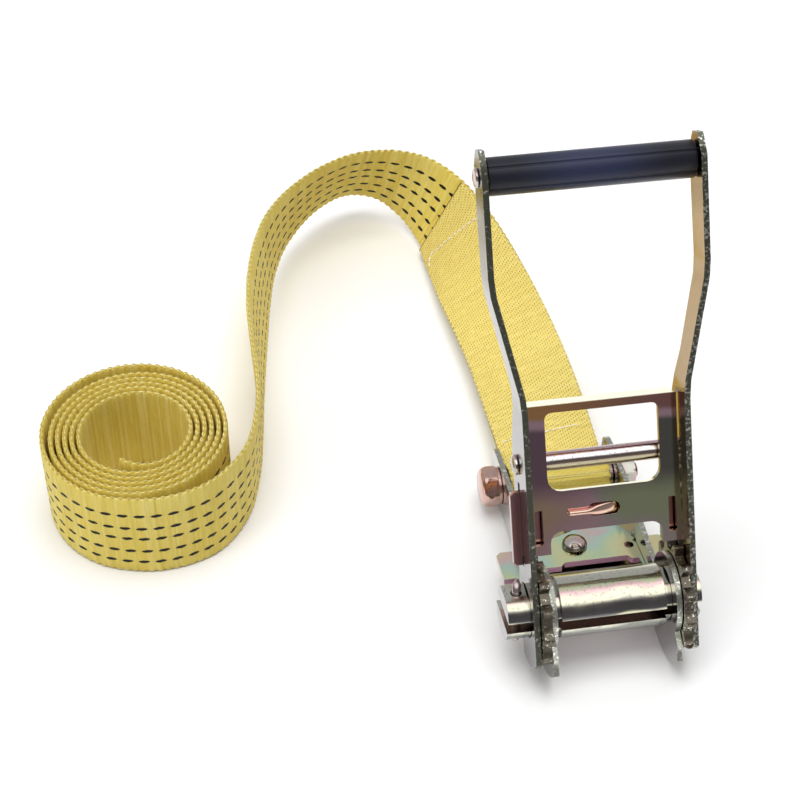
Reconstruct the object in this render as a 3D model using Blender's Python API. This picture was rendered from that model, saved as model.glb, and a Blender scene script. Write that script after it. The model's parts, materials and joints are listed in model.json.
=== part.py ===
"""Ratchet tie down: a long-handled webbing ratchet with its fixed strap.

Built in millimetres and written to Blender in metres.  The drum axis runs
along X, the frame points to the rear (+Y) and the floor is z = 0.  Three
local systems are used, each carried by an empty on the drum axis:
  frame   y = along the frame to the rear, z = square to it, upwards
  handle  y = behind the handle's mid plane, z = along the handle
  drum    y, z = rear and up
The strap is laid out in floor coordinates measured from the drum axis.
"""
import math

import bmesh
import bpy
from mathutils import Matrix, Vector

MM = 0.001
FIT = 0.3                      # air between touching solids

# ---- placing ---------------------------------------------------------------
DRUM_X = 98.6                  # puts the whole part over the origin
DRUM_Y = -154.1
DRUM_Z = 31.0                  # the frame's lobes stand on the floor
FRAME_PITCH = 9.0              # rear end of the frame down, degrees
HANDLE_LEAN = 30.0             # handle leans to the rear of upright, degrees

# ---- frame -----------------------------------------------------------------
PLATE = 2.5                    # sheet thickness of frame and web
FRAME_OUT = 29.3               # half width over the side plates
FRAME_IN = FRAME_OUT - PLATE
HUB_R = 19.0                   # plate edge round the drum, above
LOBE_R = 31.0                  # plate edge round the drum, below
FRAME_TOP = 9.8
FRAME_FOOT = -14.5
FRAME_END = 113.0
FLOOR_WEB = (36.0, 84.0)       # fore and aft ends of the floor of the channel
FLOOR_WEB_TOP = -12.2
BOLT_Y, BOLT_Z = 94.0, -2.0    # anchor bolt, in the frame's system
BOLT_R = 4.0
SLEEVE_R = 6.2
SPRING_STOP = (80.0, 82.5)

# ---- lock plate ------------------------------------------------------------
LOCK_Z = -9.0                  # mid plane of the lock plate
LOCK_T = 3.0
LOCK_TIP = 24.6                # where its teeth stop at rest, clear of the wheel
LOCK_PIN = (-2.5, 49.0)
LOCK_WING = 40.3               # half width over its wings
LOCK_TRAVEL = (-4.0, 4.5)

# ---- drum ------------------------------------------------------------------
DRUM_R = 14.0
DRUM_HALF = 23.8               # half length of the thick part
AXLE_R = 12.0
AXLE_FLAT = 10.5
SLOT = 5.0                     # webbing slot between the half shafts
DRUM_TURN = -10.0              # the slot's open side stands a little up at rest
UPPER_ENDS = (-47.5, 40.5)     # left and right ends of the half shafts
LOWER_ENDS = (-48.0, 39.8)
PIN_X = -41.8                  # cotter pin through the left end
PIN_HOLE_R = 2.4
TEETH = 12
WHEEL_R = 25.3
WHEEL_ROOT = 20.6
WHEEL_X = (29.65, 34.0)
GAP_CENTRE = -31.2             # world angle of one tooth gap, under the lock plate
GAP_WIDE = 14.0

# ---- handle ----------------------------------------------------------------
ARM_IN, ARM_OUT = 34.35, 37.0
ARM_SPREAD = 11.0              # how far each arm steps out towards the grip
SPREAD_FROM, SPREAD_TO = 98.0, 148.0
ARM_FRONT = -16.0
ARM_REAR = 10.3
ARM_NARROW = -1.0
ARM_TIP = 206.0
ARM_END_R = 26.0
WEB = (-5.85, -3.35)           # front and back of the H-shaped web
WEB_FOOT, WEB_TOP = 26.4, 94.0
WINDOW_HALF = 25.3
WINDOW = (55.0, 90.5)
NOTCH_TOP = 36.5
FLANGE_BACK = 4.0
ROD_Z, ROD_Y, ROD_R = 67.0, 1.5, 4.25
GRIP_Z, GRIP_Y, GRIP_R = 194.5, -6.0, 8.2

# ---- drive pawl ------------------------------------------------------------
PAWL = (-1.4, 1.6)             # front and back faces
PAWL_TIP = 25.9                # tips at rest, just clear of the teeth
PAWL_TOP = 55.5
PAWL_HALF = 41.5               # half width over its wings
WING_TIP = 21.6                # lower edge of the wings outside the arms
PAWL_TRAVEL = (-4.5, 3.0)

# ---- webbing ---------------------------------------------------------------
STRAP_W = 50.0
STRAP_T = 2.8
ROLL_X, ROLL_Y = -201.0, 122.0
ROLL_R = 44.4                  # middle of the outermost tight wrap
ROLL_PITCH = 3.2
ROLL_TURNS = 5.92
ROLL_SLACK = 3.0               # how far the outermost wrap stands off, at most
ROLL_CURL = (70.0, 5.0)        # the inner end: its last degrees, and how far it turns in
ROLL_START = -135.0            # where the strap meets the roll, degrees
SEWN_PART = 0.318              # share of the route that is sewn double

# Middle of the strap and its width direction, from the bolt to the roll.
ROUTE = [
    ((0, 106.5, 12.9), (1, 0, 0)),
    ((0, 131, 13.0), (0.99, 0.03, 0.11)),
    ((-1, 158, 14.8), (0.96, 0.06, 0.26)),
    ((-2.6, 188.4, 15.0), (0.94, 0.16, 0.29)),
    ((-5.6, 216.6, 16.3), (0.90, 0.18, 0.37)),
    ((-9.7, 243.6, 18.5), (0.83, 0.15, 0.54)),
    ((-14.4, 270.5, 21.3), (0.665, 0.07, 0.73)),
    ((-21.5, 296, 24.8), (0.47, -0.03, 0.88)),
    ((-33.5, 314, 29.8), (0.31, -0.19, 0.93)),
    ((-50, 323, 35.0), (0.18, -0.36, 0.91)),
    ((-70, 322.5, 37.5), (0.11, -0.42, 0.90)),
    ((-90.5, 313, 35.5), (0.08, -0.36, 0.93)),
    ((-108, 297.5, 31.5), (0.04, -0.23, 0.97)),
    ((-120, 278, 28.4), (-0.05, -0.12, 0.99)),
    ((-127.5, 255, 26.6), (-0.12, -0.04, 0.99)),
    ((-132.5, 230, 25.8), (-0.15, 0.01, 0.99)),
    ((-136, 205, 25.5), (-0.13, 0.02, 0.99)),
    ((-138.3, 179, 25.3), (-0.07, 0.01, 1)),
    ((-140, 153, 25.2), (0, 0, 1)),
    ((-143.5, 128, 25.1), (0.03, 0, 1)),
    ((-151, 104, 25.1), (0.03, 0, 1)),
    ((-165, 85.8, 25.1), (0, 0, 1)),
    ((-180.5, 77.8, 25.1), (0, 0, 1)),
    ((-197, 75.6, 25.1), (0, 0, 1)),
    ((-211, 78.1, 25.1), (0, 0, 1)),
    ((-220.7, 81.8, 25.1), (0, 0, 1)),
    ((-228.4, 86.9, 25.1), (0, 0, 1)),
    ((-232.1, 90.3, 25.1), (0, 0, 1)),
]


# ---- small helpers ---------------------------------------------------------
def clear_scene():
    for item in list(bpy.data.objects):
        bpy.data.objects.remove(item, do_unlink=True)


def material(name, colour, roughness, metallic):
    made = bpy.data.materials.new(name)
    made.use_nodes = True
    shader = made.node_tree.nodes["Principled BSDF"]
    shader.inputs["Base Color"].default_value = (*colour, 1.0)
    shader.inputs["Roughness"].default_value = roughness
    shader.inputs["Metallic"].default_value = metallic
    return made


def empty(name, tilt_degrees):
    """An empty on the drum axis, tilted about X."""
    made = bpy.data.objects.new(name, None)
    made.location = (DRUM_X * MM, DRUM_Y * MM, DRUM_Z * MM)
    made.rotation_euler = (math.radians(tilt_degrees), 0, 0)
    bpy.context.collection.objects.link(made)
    return made


def finish(name, bm, finish_material, parent, smooth=True):
    """Writes a bmesh drawn in millimetres as an object in metres."""
    bmesh.ops.scale(bm, vec=(MM, MM, MM), verts=bm.verts)
    bmesh.ops.recalc_face_normals(bm, faces=bm.faces)
    mesh = bpy.data.meshes.new(name)
    bm.to_mesh(mesh)
    bm.free()
    if smooth:
        mesh.shade_smooth()
        mesh.set_sharp_from_angle(angle=math.radians(32))
    made = bpy.data.objects.new(name, mesh)
    made.parent = parent
    bpy.context.collection.objects.link(made)
    if finish_material:
        mesh.materials.append(finish_material)
    return made


def tool(name, bm, parent):
    """A shape that only joins or cuts other shapes."""
    made = finish(name, bm, None, parent, smooth=False)
    made.hide_render = True
    made.display_type = "WIRE"
    return made


def combine(target, other, operation):
    modifier = target.modifiers.new(other.name, "BOOLEAN")
    modifier.operation = operation
    modifier.solver = "EXACT"
    modifier.object = other


def join(target, *others):
    for other in others:
        combine(target, other, "UNION")


def cut(target, *others):
    for other in others:
        combine(target, other, "DIFFERENCE")


def arc(centre, radius, start, end, steps):
    """Points on a circle, angles in degrees."""
    points = []
    for i in range(steps + 1):
        angle = math.radians(start + (end - start) * i / steps)
        points.append((centre[0] + radius * math.cos(angle), centre[1] + radius * math.sin(angle)))
    return points


def rounded(corners, steps=4):
    """A polygon given as (a, b, corner radius), with its corners rounded."""
    outline = []
    count = len(corners)
    for i, (a, b, radius) in enumerate(corners):
        here = Vector((a, b))
        if radius == 0:
            outline.append((a, b))
            continue
        before = (Vector(corners[i - 1][:2]) - here).normalized()
        after = (Vector(corners[(i + 1) % count][:2]) - here).normalized()
        half = before.angle(after) / 2
        reach = radius / math.tan(half)
        centre = here + (before + after).normalized() * radius / math.sin(half)
        first = here + before * reach - centre
        last = here + after * reach - centre
        turn = math.atan2(first.x * last.y - first.y * last.x, first.dot(last))
        for step in range(steps + 1):
            spoke = Vector(first)
            spoke.rotate(Matrix.Rotation(turn * step / steps, 2))
            outline.append(tuple(centre + spoke))
    return outline


def prism(outline, low, high, along="X"):
    """Extrudes an outline.  X: outline is (y, z).  Y: (x, z).  Z: (x, y)."""
    bm = bmesh.new()
    place = {"X": lambda a, b, c: (c, a, b),
             "Y": lambda a, b, c: (a, c, b),
             "Z": lambda a, b, c: (a, b, c)}[along]
    ring = [bm.verts.new(place(a, b, low)) for a, b in outline]
    face = bm.faces.new(ring)
    pushed = bmesh.ops.extrude_face_region(bm, geom=[face])
    moved = [item for item in pushed["geom"] if isinstance(item, bmesh.types.BMVert)]
    bmesh.ops.translate(bm, vec=Vector(place(0, 0, high - low)), verts=moved)
    return bm


def box(x, y, z):
    """A box from three (low, high) pairs."""
    return prism([(y[0], z[0]), (y[1], z[0]), (y[1], z[1]), (y[0], z[1])], x[0], x[1])


def disc(radius, low, high, centre=(0, 0), along="X", steps=48):
    return prism(arc(centre, radius, 0, 360 * (steps - 1) / steps, steps - 1), low, high, along)


def turned(profile, centre=(0, 0), steps=32):
    """Spins (x, radius) points about X; the first and last lie on the axis."""
    bm = bmesh.new()
    rings = []
    for x, radius in profile:
        if radius == 0:
            rings.append([bm.verts.new((x, centre[0], centre[1]))])
        else:
            points = arc(centre, radius, 0, 360 * (steps - 1) / steps, steps - 1)
            rings.append([bm.verts.new((x, y, z)) for y, z in points])
    for one, two in zip(rings, rings[1:]):
        for i in range(steps):
            j = (i + 1) % steps
            corners = [one[i % len(one)], one[j % len(one)], two[j % len(two)], two[i % len(two)]]
            unique = list(dict.fromkeys(corners))
            if len(unique) > 2:
                bm.faces.new(unique)
    return bm


# ---- frame body ------------------------------------------------------------
def side_plate_outline():
    heel = (DRUM_Z + FRAME_FOOT * math.cos(math.radians(FRAME_PITCH)))
    heel /= math.sin(math.radians(FRAME_PITCH))
    rear = rounded([(72.5, FRAME_TOP, 2), (FRAME_END, FRAME_TOP, 7), (FRAME_END, -9.5, 5),
                    (heel, FRAME_FOOT, 0), (36.0, FRAME_FOOT, 6)])
    lobe = arc((0, 0), LOBE_R, 318, 218, 20)
    steps = [polar(27.5, 216), polar(27.0, 209), polar(24.5, 207.5), polar(HUB_R, 205)]
    hub = arc((0, 0), HUB_R, 198, 4, 32)
    recess = [(24.0, 1.4), (60.5, 6.8)]
    notch = arc((66.4, 9.0), 5.2, 200, 340, 8)
    return rear + lobe + steps + hub + recess + notch


def polar(radius, degrees):
    return (radius * math.cos(math.radians(degrees)), radius * math.sin(math.radians(degrees)))


def build_frame(zinc, copper, parent):
    outline = side_plate_outline()
    frame = finish("base_frame", prism(outline, -FRAME_OUT, -FRAME_IN), zinc, parent)
    right = tool("right_plate_shape", prism(outline, FRAME_IN, FRAME_OUT), parent)
    reach = FRAME_IN + 1.0
    floor = tool("floor_web_shape", box((-reach, reach), FLOOR_WEB, (FRAME_FOOT + 0.1, FLOOR_WEB_TOP)), parent)
    stop = tool("spring_stop_shape", box((-6, 6), SPRING_STOP, (FLOOR_WEB_TOP - 0.5, -4.5)), parent)
    join(frame, right, floor, stop)
    span = (-FRAME_OUT - 1, FRAME_OUT + 1)
    drum_hole = tool("drum_hole", disc(AXLE_R + 0.5, *span), parent)
    bolt_hole = tool("bolt_hole", disc(BOLT_R + FIT, *span, centre=(BOLT_Y, BOLT_Z), steps=32), parent)
    half = LOCK_T / 2 + 0.4
    slot = tool("lock_slots", box(span, (LOCK_TIP + LOCK_TRAVEL[0] - 0.5, 55.0), (LOCK_Z - half, LOCK_Z + half)),
                parent)
    keep = tool("slot_keeper", box((-FRAME_IN + 0.6, FRAME_IN - 0.6), (15, 58), (-20, 5)), parent)
    cut(slot, keep)
    pin_hole = tool("guide_pin_hole", disc(2.8, -20, -8, centre=LOCK_PIN, along="Z", steps=24), parent)
    cut(frame, drum_hole, bolt_hole, slot, pin_hole)

    centre = (BOLT_Y, BOLT_Z)
    face = FRAME_OUT + FIT
    head = [(-face - 9.6, 0), (-face - 9.6, 4.6), (-face - 7.8, 8.2), (-face - 5.4, 10.0), (-face - 2.4, 10.0),
            (-face - 1.2, 9.2), (-face, 9.2)]
    shank = [(-face, BOLT_R), (face + 9.6, BOLT_R), (face + 10.4, BOLT_R - 0.8), (face + 10.4, 0)]
    finish("anchor_bolt", turned(head + shank, centre, 36), copper, parent)
    finish("anchor_washer", ring(8.4, BOLT_R + FIT, face, face + 1.4, centre), zinc, parent)
    hexagon = arc(centre, 7.5, 0, 300, 5)
    nut = finish("anchor_nut", prism(hexagon, face + 1.7, face + 8.2), zinc, parent)
    cut(nut, tool("nut_thread", disc(BOLT_R + FIT, face, face + 10, centre, steps=32), parent))
    finish("anchor_sleeve", ring(SLEEVE_R, BOLT_R + FIT, -FRAME_IN + FIT, FRAME_IN - FIT, centre), zinc, parent)

    x, y = LOCK_PIN
    dome = [(-14.0, 0), (-14.0, 2.5), (LOCK_Z + LOCK_T / 2 + FIT, 2.5), (LOCK_Z + LOCK_T / 2 + FIT, 6.0),
            (-6.0, 5.9), (-4.6, 5.0), (-3.6, 3.0), (-3.2, 0)]
    pin = turned(dome, steps=24)
    bmesh.ops.rotate(pin, matrix=Matrix.Rotation(math.radians(-90), 3, "Y"), verts=pin.verts)
    bmesh.ops.translate(pin, vec=(x, y, 0), verts=pin.verts)
    finish("lock_guide_pin", pin, zinc, parent)


def ring(outer, inner, low, high, centre=(0, 0), steps=32):
    """A tube along X, as a closed mesh."""
    bm = bmesh.new()
    loops = []
    for x, radius in ((low, outer), (high, outer), (high, inner), (low, inner)):
        points = arc(centre, radius, 0, 360 * (steps - 1) / steps, steps - 1)
        loops.append([bm.verts.new((x, y, z)) for y, z in points])
    for k in range(4):
        one, two = loops[k], loops[(k + 1) % 4]
        for i in range(steps):
            j = (i + 1) % steps
            bm.faces.new((one[i], one[j], two[j], two[i]))
    return bm


def build_lock(zinc, steel, parent):
    half_right = [(25.0, 35.0), (26.0, LOCK_TIP), (WHEEL_X[1], LOCK_TIP), (WHEEL_X[1], 30.5),
                  (LOCK_WING, 30.5), (LOCK_WING, 48.0), (LOCK_WING - 2.0, 50.0), (26.2, 50.0)]
    hump = [(22.0, 60.5), (15.0, 63.0), (6.0, 61.0), (1.0, 60.0), (1.0, 75.0), (-1.0, 75.0), (-1.0, 60.0),
            (-8.0, 57.0), (-22.0, 52.5)]
    half_left = [(-x, y) for x, y in reversed(half_right)]
    scoop = [(-12.0, 35.0), (-10.0, 37.5), (20.0, 37.5), (22.0, 35.0)]
    low, high = LOCK_Z - LOCK_T / 2, LOCK_Z + LOCK_T / 2
    plate = finish("lock_plate", prism(half_right + hump + half_left + scoop, low, high, "Z"), zinc, parent)
    x, y = LOCK_PIN
    guide = rounded([(x - 3, y - LOCK_TRAVEL[1] - 3, 2.9), (x + 3, y - LOCK_TRAVEL[1] - 3, 2.9),
                     (x + 3, y - LOCK_TRAVEL[0] + 3, 2.9), (x - 3, y - LOCK_TRAVEL[0] + 3, 2.9)])
    guide_slot = tool("guide_slot", prism(guide, low - 1, high + 1, "Z"), parent)
    hole = tool("lock_plate_hole", disc(2.3, low - 1, high + 1, (22.8, 45.0), "Z", 24), parent)
    cut(plate, guide_slot, hole)
    coil("lock_spring", (0, 61.8, LOCK_Z), (0, 79.7, LOCK_Z), 2.4, 0.4, 7, steel, parent)


def coil(name, start, end, radius, wire, turns, finish_material, parent):
    """A helical spring from start to end, as one round wire."""
    start, end = Vector(start), Vector(end)
    axis = (end - start).normalized()
    side = axis.orthogonal().normalized()
    other = axis.cross(side)
    start = start + axis * wire
    run = (end - start).length - wire
    count = turns * 12
    bm = bmesh.new()
    loops = []
    for i in range(count + 1):
        angle = 2 * math.pi * turns * i / count
        out = side * math.cos(angle) + other * math.sin(angle)
        centre = start + axis * run * i / count + out * radius
        loops.append([bm.verts.new(centre + out * wire * math.cos(a) + axis * wire * math.sin(a))
                      for a in (math.radians(60 * k) for k in range(6))])
    for one, two in zip(loops, loops[1:]):
        for k in range(6):
            bm.faces.new((one[k], one[(k + 1) % 6], two[(k + 1) % 6], two[k]))
    bm.faces.new(loops[0])
    bm.faces.new(list(reversed(loops[-1])))
    finish(name, bm, finish_material, parent)


# ---- drum body -------------------------------------------------------------
def segment(radius, flat, top=None, steps=24):
    """The upper part of a circle cut at height flat, and at top where given."""
    start = math.degrees(math.asin(flat / radius))
    points = arc((0, 0), radius, start, 180 - start, steps)
    if top:
        points = [(y, min(z, top)) for y, z in points]
    return points


def build_drum(zinc, steel, parent):
    for name, side, ends in (("half_shaft_upper", 1, UPPER_ENDS), ("half_shaft_lower", -1, LOWER_ENDS)):
        body = [(y, z * side) for y, z in segment(DRUM_R, SLOT / 2)]
        axle = [(y, z * side) for y, z in segment(AXLE_R, SLOT / 2, AXLE_FLAT)]
        shaft = finish(name, prism(body, -DRUM_HALF, DRUM_HALF), zinc, parent)
        join(shaft, tool(name + "_axle", prism(axle, *ends), parent))
        cut(shaft, tool(name + "_drill", disc(PIN_HOLE_R, 0, side * 12, (PIN_X, 0), "Z", 20), parent))

    slope = 360 / TEETH
    outline = []
    for tooth in range(TEETH):
        base = GAP_CENTRE - DRUM_TURN + tooth * slope - GAP_WIDE / 2
        outline += [polar(WHEEL_ROOT, base), polar(WHEEL_ROOT, base + GAP_WIDE),
                    polar(WHEEL_ROOT + 2.6, base + GAP_WIDE + 3.6), polar(WHEEL_R - 0.4, base + GAP_WIDE + 8.5),
                    polar(WHEEL_R, base + GAP_WIDE + 10.5), polar(WHEEL_R, base + slope - 1.0)]
    for name, side in (("ratchet_wheel_left", -1), ("ratchet_wheel_right", 1)):
        low, high = sorted((side * WHEEL_X[0], side * WHEEL_X[1]))
        wheel = finish(name, prism(outline, low, high), zinc, parent)
        for half in (1, -1):
            opening = segment(AXLE_R + FIT, SLOT / 2 - FIT, AXLE_FLAT + FIT)
            opening = [(y, z * half) for y, z in opening]
            word = "upper" if half > 0 else "lower"
            cut(wheel, tool(f"{name}_{word}_opening", prism(opening, low - 1, high + 1), parent))
    cotter_pin(steel, parent)


def cotter_pin(steel, parent):
    """A split pin: its eye below the axle, both legs bent over to the rear on top."""
    name, leg, wire = "cotter_pin", 1.02, 0.92
    eye = arc((0, -13.0), 2.3, 66, -246, 14)
    route = [(6.2, 13.0), (3.6, 12.6), (1.8, 11.6), (leg, 10.2), (leg, -10.4)] + eye
    route += [(-leg, -10.4), (-leg, 11.2), (0.4, 13.2), (2.6, 14.6), (4.4, 14.9)]
    curve = bpy.data.curves.new(name, "CURVE")
    curve.dimensions = "3D"
    curve.bevel_depth = wire * MM
    curve.bevel_resolution = 2
    curve.use_fill_caps = True
    spline = curve.splines.new("POLY")
    spline.points.add(len(route) - 1)
    for point, (y, z) in zip(spline.points, route):
        point.co = (0, y * MM, z * MM, 1)
    curve.materials.append(steel)
    made = bpy.data.objects.new(name, curve)
    made.location = (PIN_X * MM, 0, 0)
    made.rotation_euler = (0, 0, math.radians(-20))
    made.parent = parent
    bpy.context.collection.objects.link(made)


# ---- handle body -----------------------------------------------------------
def arm_outline():
    """(y, z) of one arm: y behind the handle plane, z along the handle."""
    low = math.degrees(math.atan2(-math.sqrt(ARM_END_R ** 2 - ARM_FRONT ** 2), ARM_FRONT)) + 360
    high = math.degrees(math.atan2(-math.sqrt(ARM_END_R ** 2 - ARM_REAR ** 2), ARM_REAR)) + 360
    end = arc((0, 0), ARM_END_R, low, high, 8)
    rear = [(ARM_REAR, 72.0), (ARM_REAR - 1.0, 78.0), (ARM_REAR - 3.6, 85.0), (ARM_REAR - 7.2, 93.0),
            (ARM_REAR - 9.8, 101.0), (ARM_NARROW - 0.5, 112.0), (ARM_NARROW, 125.0), (ARM_NARROW + 1.5, 182.0),
            (ARM_NARROW + 1.5, 199.0), (ARM_NARROW - 3.0, ARM_TIP)]
    return end + rear + [(ARM_FRONT + 5.0, ARM_TIP), (ARM_FRONT, 197.0)]


def arm_shape(side):
    """One arm, stepped outwards between SPREAD_FROM and SPREAD_TO."""
    low, high = sorted((side * ARM_IN, side * ARM_OUT))
    bm = prism(arm_outline(), low, high)
    mid = (SPREAD_FROM + SPREAD_TO) / 2
    for height in (SPREAD_FROM - 5, SPREAD_FROM + 3, mid, SPREAD_TO - 3, SPREAD_TO + 5):
        bmesh.ops.bisect_plane(bm, geom=bm.verts[:] + bm.edges[:] + bm.faces[:], dist=1e-5,
                               plane_co=(0, 0, height), plane_no=(0, 0, 1))
    length = SPREAD_TO - SPREAD_FROM
    for vert in bm.verts:
        ease = min(max((vert.co.z - SPREAD_FROM) / length, 0.0), 1.0)
        vert.co.x += side * ARM_SPREAD * ease
    return bm


def build_handle(zinc, copper, steel, plastic, parent):
    web = [(-35.0, WEB_FOOT), (35.0, WEB_FOOT), (35.0, 70.0), (33.6, 72.0), (33.6, WEB_TOP),
           (-33.6, WEB_TOP), (-33.6, 72.0), (-35.0, 70.0)]
    frame = finish("handle_frame", prism(web, *WEB, "Y"), zinc, parent)
    flange = tool("flange_shape", box((-32.6, 32.6), (WEB[0] + 0.4, FLANGE_BACK), (WEB_TOP - 2.4, WEB_TOP + 0.1)),
                  parent)
    arms = [tool(f"arm_shape_{word}", arm_shape(side), parent) for word, side in (("left", -1), ("right", 1))]
    join(frame, flange, *arms)

    deep = (WEB[0] - 2, WEB[1] + 1)
    w = WINDOW_HALF
    window = rounded([(-w, WINDOW[0], 6), (w, WINDOW[0], 6), (w, WINDOW[1], 3), (-w, WINDOW[1], 3)])
    notch = rounded([(-w, 20, 0), (w, 20, 0), (w, NOTCH_TOP, 5), (-w, NOTCH_TOP, 5)])
    hook_slot = rounded([(-8, 42, 2.9), (6.5, 42, 2.9), (6.5, 48, 2.9), (-8, 48, 2.9)])
    shapes = {"window": window, "web_notch": notch, "hook_slot": hook_slot}
    for word, side in (("left", -1), ("right", 1)):
        a, b = sorted((side * 28.4, side * 32.0))
        shapes[f"corner_slot_{word}"] = [(a, 31), (b, 31), (b, 47), (a, 47)]
    for name, outline in shapes.items():
        cut(frame, tool(name, prism(outline, *deep, "Y"), parent))

    across = (-60, 60)
    cut(frame, tool("axle_hole", disc(AXLE_R + 0.5, -40, 40), parent))
    bottom = PAWL_TIP + PAWL_TRAVEL[0] - 0.6
    top = PAWL_TOP + PAWL_TRAVEL[1] + 0.6
    for word, side in (("left", -1), ("right", 1)):
        a, b = sorted((side * 33.9, side * 38.0))
        cut(frame, tool(f"pawl_slot_{word}", box((a, b), (PAWL[0] - 0.4, PAWL[1] + 0.4), (bottom, top)), parent))
    cut(frame, tool("rod_hole", disc(3.3, *across, centre=(ROD_Y, ROD_Z), steps=24), parent))
    cut(frame, tool("grip_rod_hole", disc(3.3, *across, centre=(GRIP_Y, GRIP_Z), steps=24), parent))

    rivet = [(ARM_IN - FIT, ROD_R), (ARM_IN - FIT, 3.0), (ARM_OUT + FIT, 3.0), (ARM_OUT + FIT, 4.7),
             (ARM_OUT + 1.4, 4.6), (ARM_OUT + 2.2, 3.2), (ARM_OUT + 2.4, 0)]
    profile = [(-x, r) for x, r in reversed(rivet)] + rivet
    finish("finger_rod", turned(profile, (ROD_Y, ROD_Z), 28), zinc, parent)
    outer = ARM_OUT + ARM_SPREAD
    rivet = [(outer + FIT, 3.0), (outer + FIT, 4.4), (outer + 1.4, 4.0), (outer + 1.8, 2.4), (outer + 1.9, 0)]
    profile = [(-x, r) for x, r in reversed(rivet)] + rivet
    finish("grip_rod", turned(profile, (GRIP_Y, GRIP_Z), 24), steel, parent)

    half = ARM_IN + ARM_SPREAD - FIT - 0.1
    section = rounded([(GRIP_Y + a * GRIP_R, GRIP_Z + b * GRIP_R, 2.2) for a, b in
                       ((-1.0, -0.42), (-0.42, -1.0), (0.42, -1.0), (1.0, -0.42),
                        (1.0, 0.42), (0.42, 1.0), (-0.42, 1.0), (-1.0, 0.42))], 2)
    grip = finish("grip", prism(section, -half, half), plastic, parent)
    cut(grip, tool("grip_bore", disc(3.0 + FIT, -half - 1, half + 1, (GRIP_Y, GRIP_Z), steps=24), parent))

    front, back = WEB[0] - FIT, WEB[1] + FIT
    hook = [(9.0, back), (9.0, back + 1.2), (2.0, back + 1.2), (2.0, front - 0.4), (-17.0, front - 0.4),
            (-17.0, front - 2.2), (1.0, front - 2.2), (4.2, front - 0.4), (4.2, back)]
    finish("spring_hook", prism(hook, 43.2, 46.6, "Z"), copper, parent)
    for word, x in (("left", -31.7), ("right", 31.7)):
        coil(f"drive_spring_{word}", (x, 0.1, 48.3), (x, 0.1, 62.3), 1.6, 0.35, 6, steel, parent)


def build_drive_pawl(zinc, parent):
    root = ARM_OUT + FIT
    half = [(26.0, 41.0), (26.0, PAWL_TIP), (root, PAWL_TIP), (root, WING_TIP), (PAWL_HALF - 1.0, WING_TIP),
            (PAWL_HALF, WING_TIP + 1.0), (PAWL_HALF, PAWL_TOP - 2), (PAWL_HALF - 2, PAWL_TOP), (33.9, PAWL_TOP),
            (33.9, 48.0), (27.0, 48.0), (24.0, 52.0)]
    outline = half + [(-x, z) for x, z in reversed(half)]
    finish("drive_pawl", prism(outline, *PAWL, "Y"), zinc, parent)


# ---- webbing ---------------------------------------------------------------
def smooth_route(pairs, per_span):
    """A Catmull-Rom curve through points with width directions."""
    points = [(Vector(p), Vector(w).normalized()) for p, w in pairs]
    out = []
    for i in range(len(points) - 1):
        for step in range(per_span):
            out.append([spline(points, i, step / per_span, k) for k in (0, 1)])
    out.append(list(points[-1]))
    return out


def spline(points, i, t, k):
    last = len(points) - 1
    a, b, c, d = (points[min(max(j, 0), last)][k] for j in (i - 1, i, i + 1, i + 2))
    return 0.5 * (2 * b + (c - a) * t + (2 * a - 5 * b + 4 * c - d) * t * t + (3 * b - a - 3 * c + d) * t ** 3)


def ribbon(stations, low, high):
    """A solid strap along stations; low and high are its two faces."""
    bm = bmesh.new()
    loops = []
    for i, (centre, across) in enumerate(stations):
        ahead = stations[min(i + 1, len(stations) - 1)][0] - stations[max(i - 1, 0)][0]
        ahead.normalize()
        across = (across - ahead * across.dot(ahead)).normalized()
        normal = across.cross(ahead)
        corners = ((-1, low), (1, low), (1, high), (-1, high))
        loops.append([bm.verts.new(centre + across * s * STRAP_W / 2 + normal * t) for s, t in corners])
    for one, two in zip(loops, loops[1:]):
        for k in range(4):
            bm.faces.new((one[k], one[(k + 1) % 4], two[(k + 1) % 4], two[k]))
    bm.faces.new(loops[0])
    bm.faces.new(list(reversed(loops[-1])))
    bmesh.ops.triangulate(bm, faces=bm.faces)
    return bm


def roll_stations():
    """The tight wraps: a spiral that closes inwards, seen from above clockwise."""
    count = int(ROLL_TURNS * 40)
    first = ROLL_START - 0.6
    stations = []
    for i in range(count + 1):
        turned_by = 360 * ROLL_TURNS * i / count
        radius = ROLL_R - ROLL_PITCH * turned_by / 360
        if 10 < turned_by < 230:
            radius += ROLL_SLACK * math.sin(math.pi * (turned_by - 10) / 220) ** 2
        inner = 1 - (360 * ROLL_TURNS - turned_by) / ROLL_CURL[0]
        if inner > 0:
            radius -= ROLL_CURL[1] * inner ** 2
        x, y = polar(radius, first - turned_by)
        stations.append((Vector((ROLL_X + x, ROLL_Y + y, STRAP_W / 2)), Vector((0, 0, 1))))
    return stations


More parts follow.
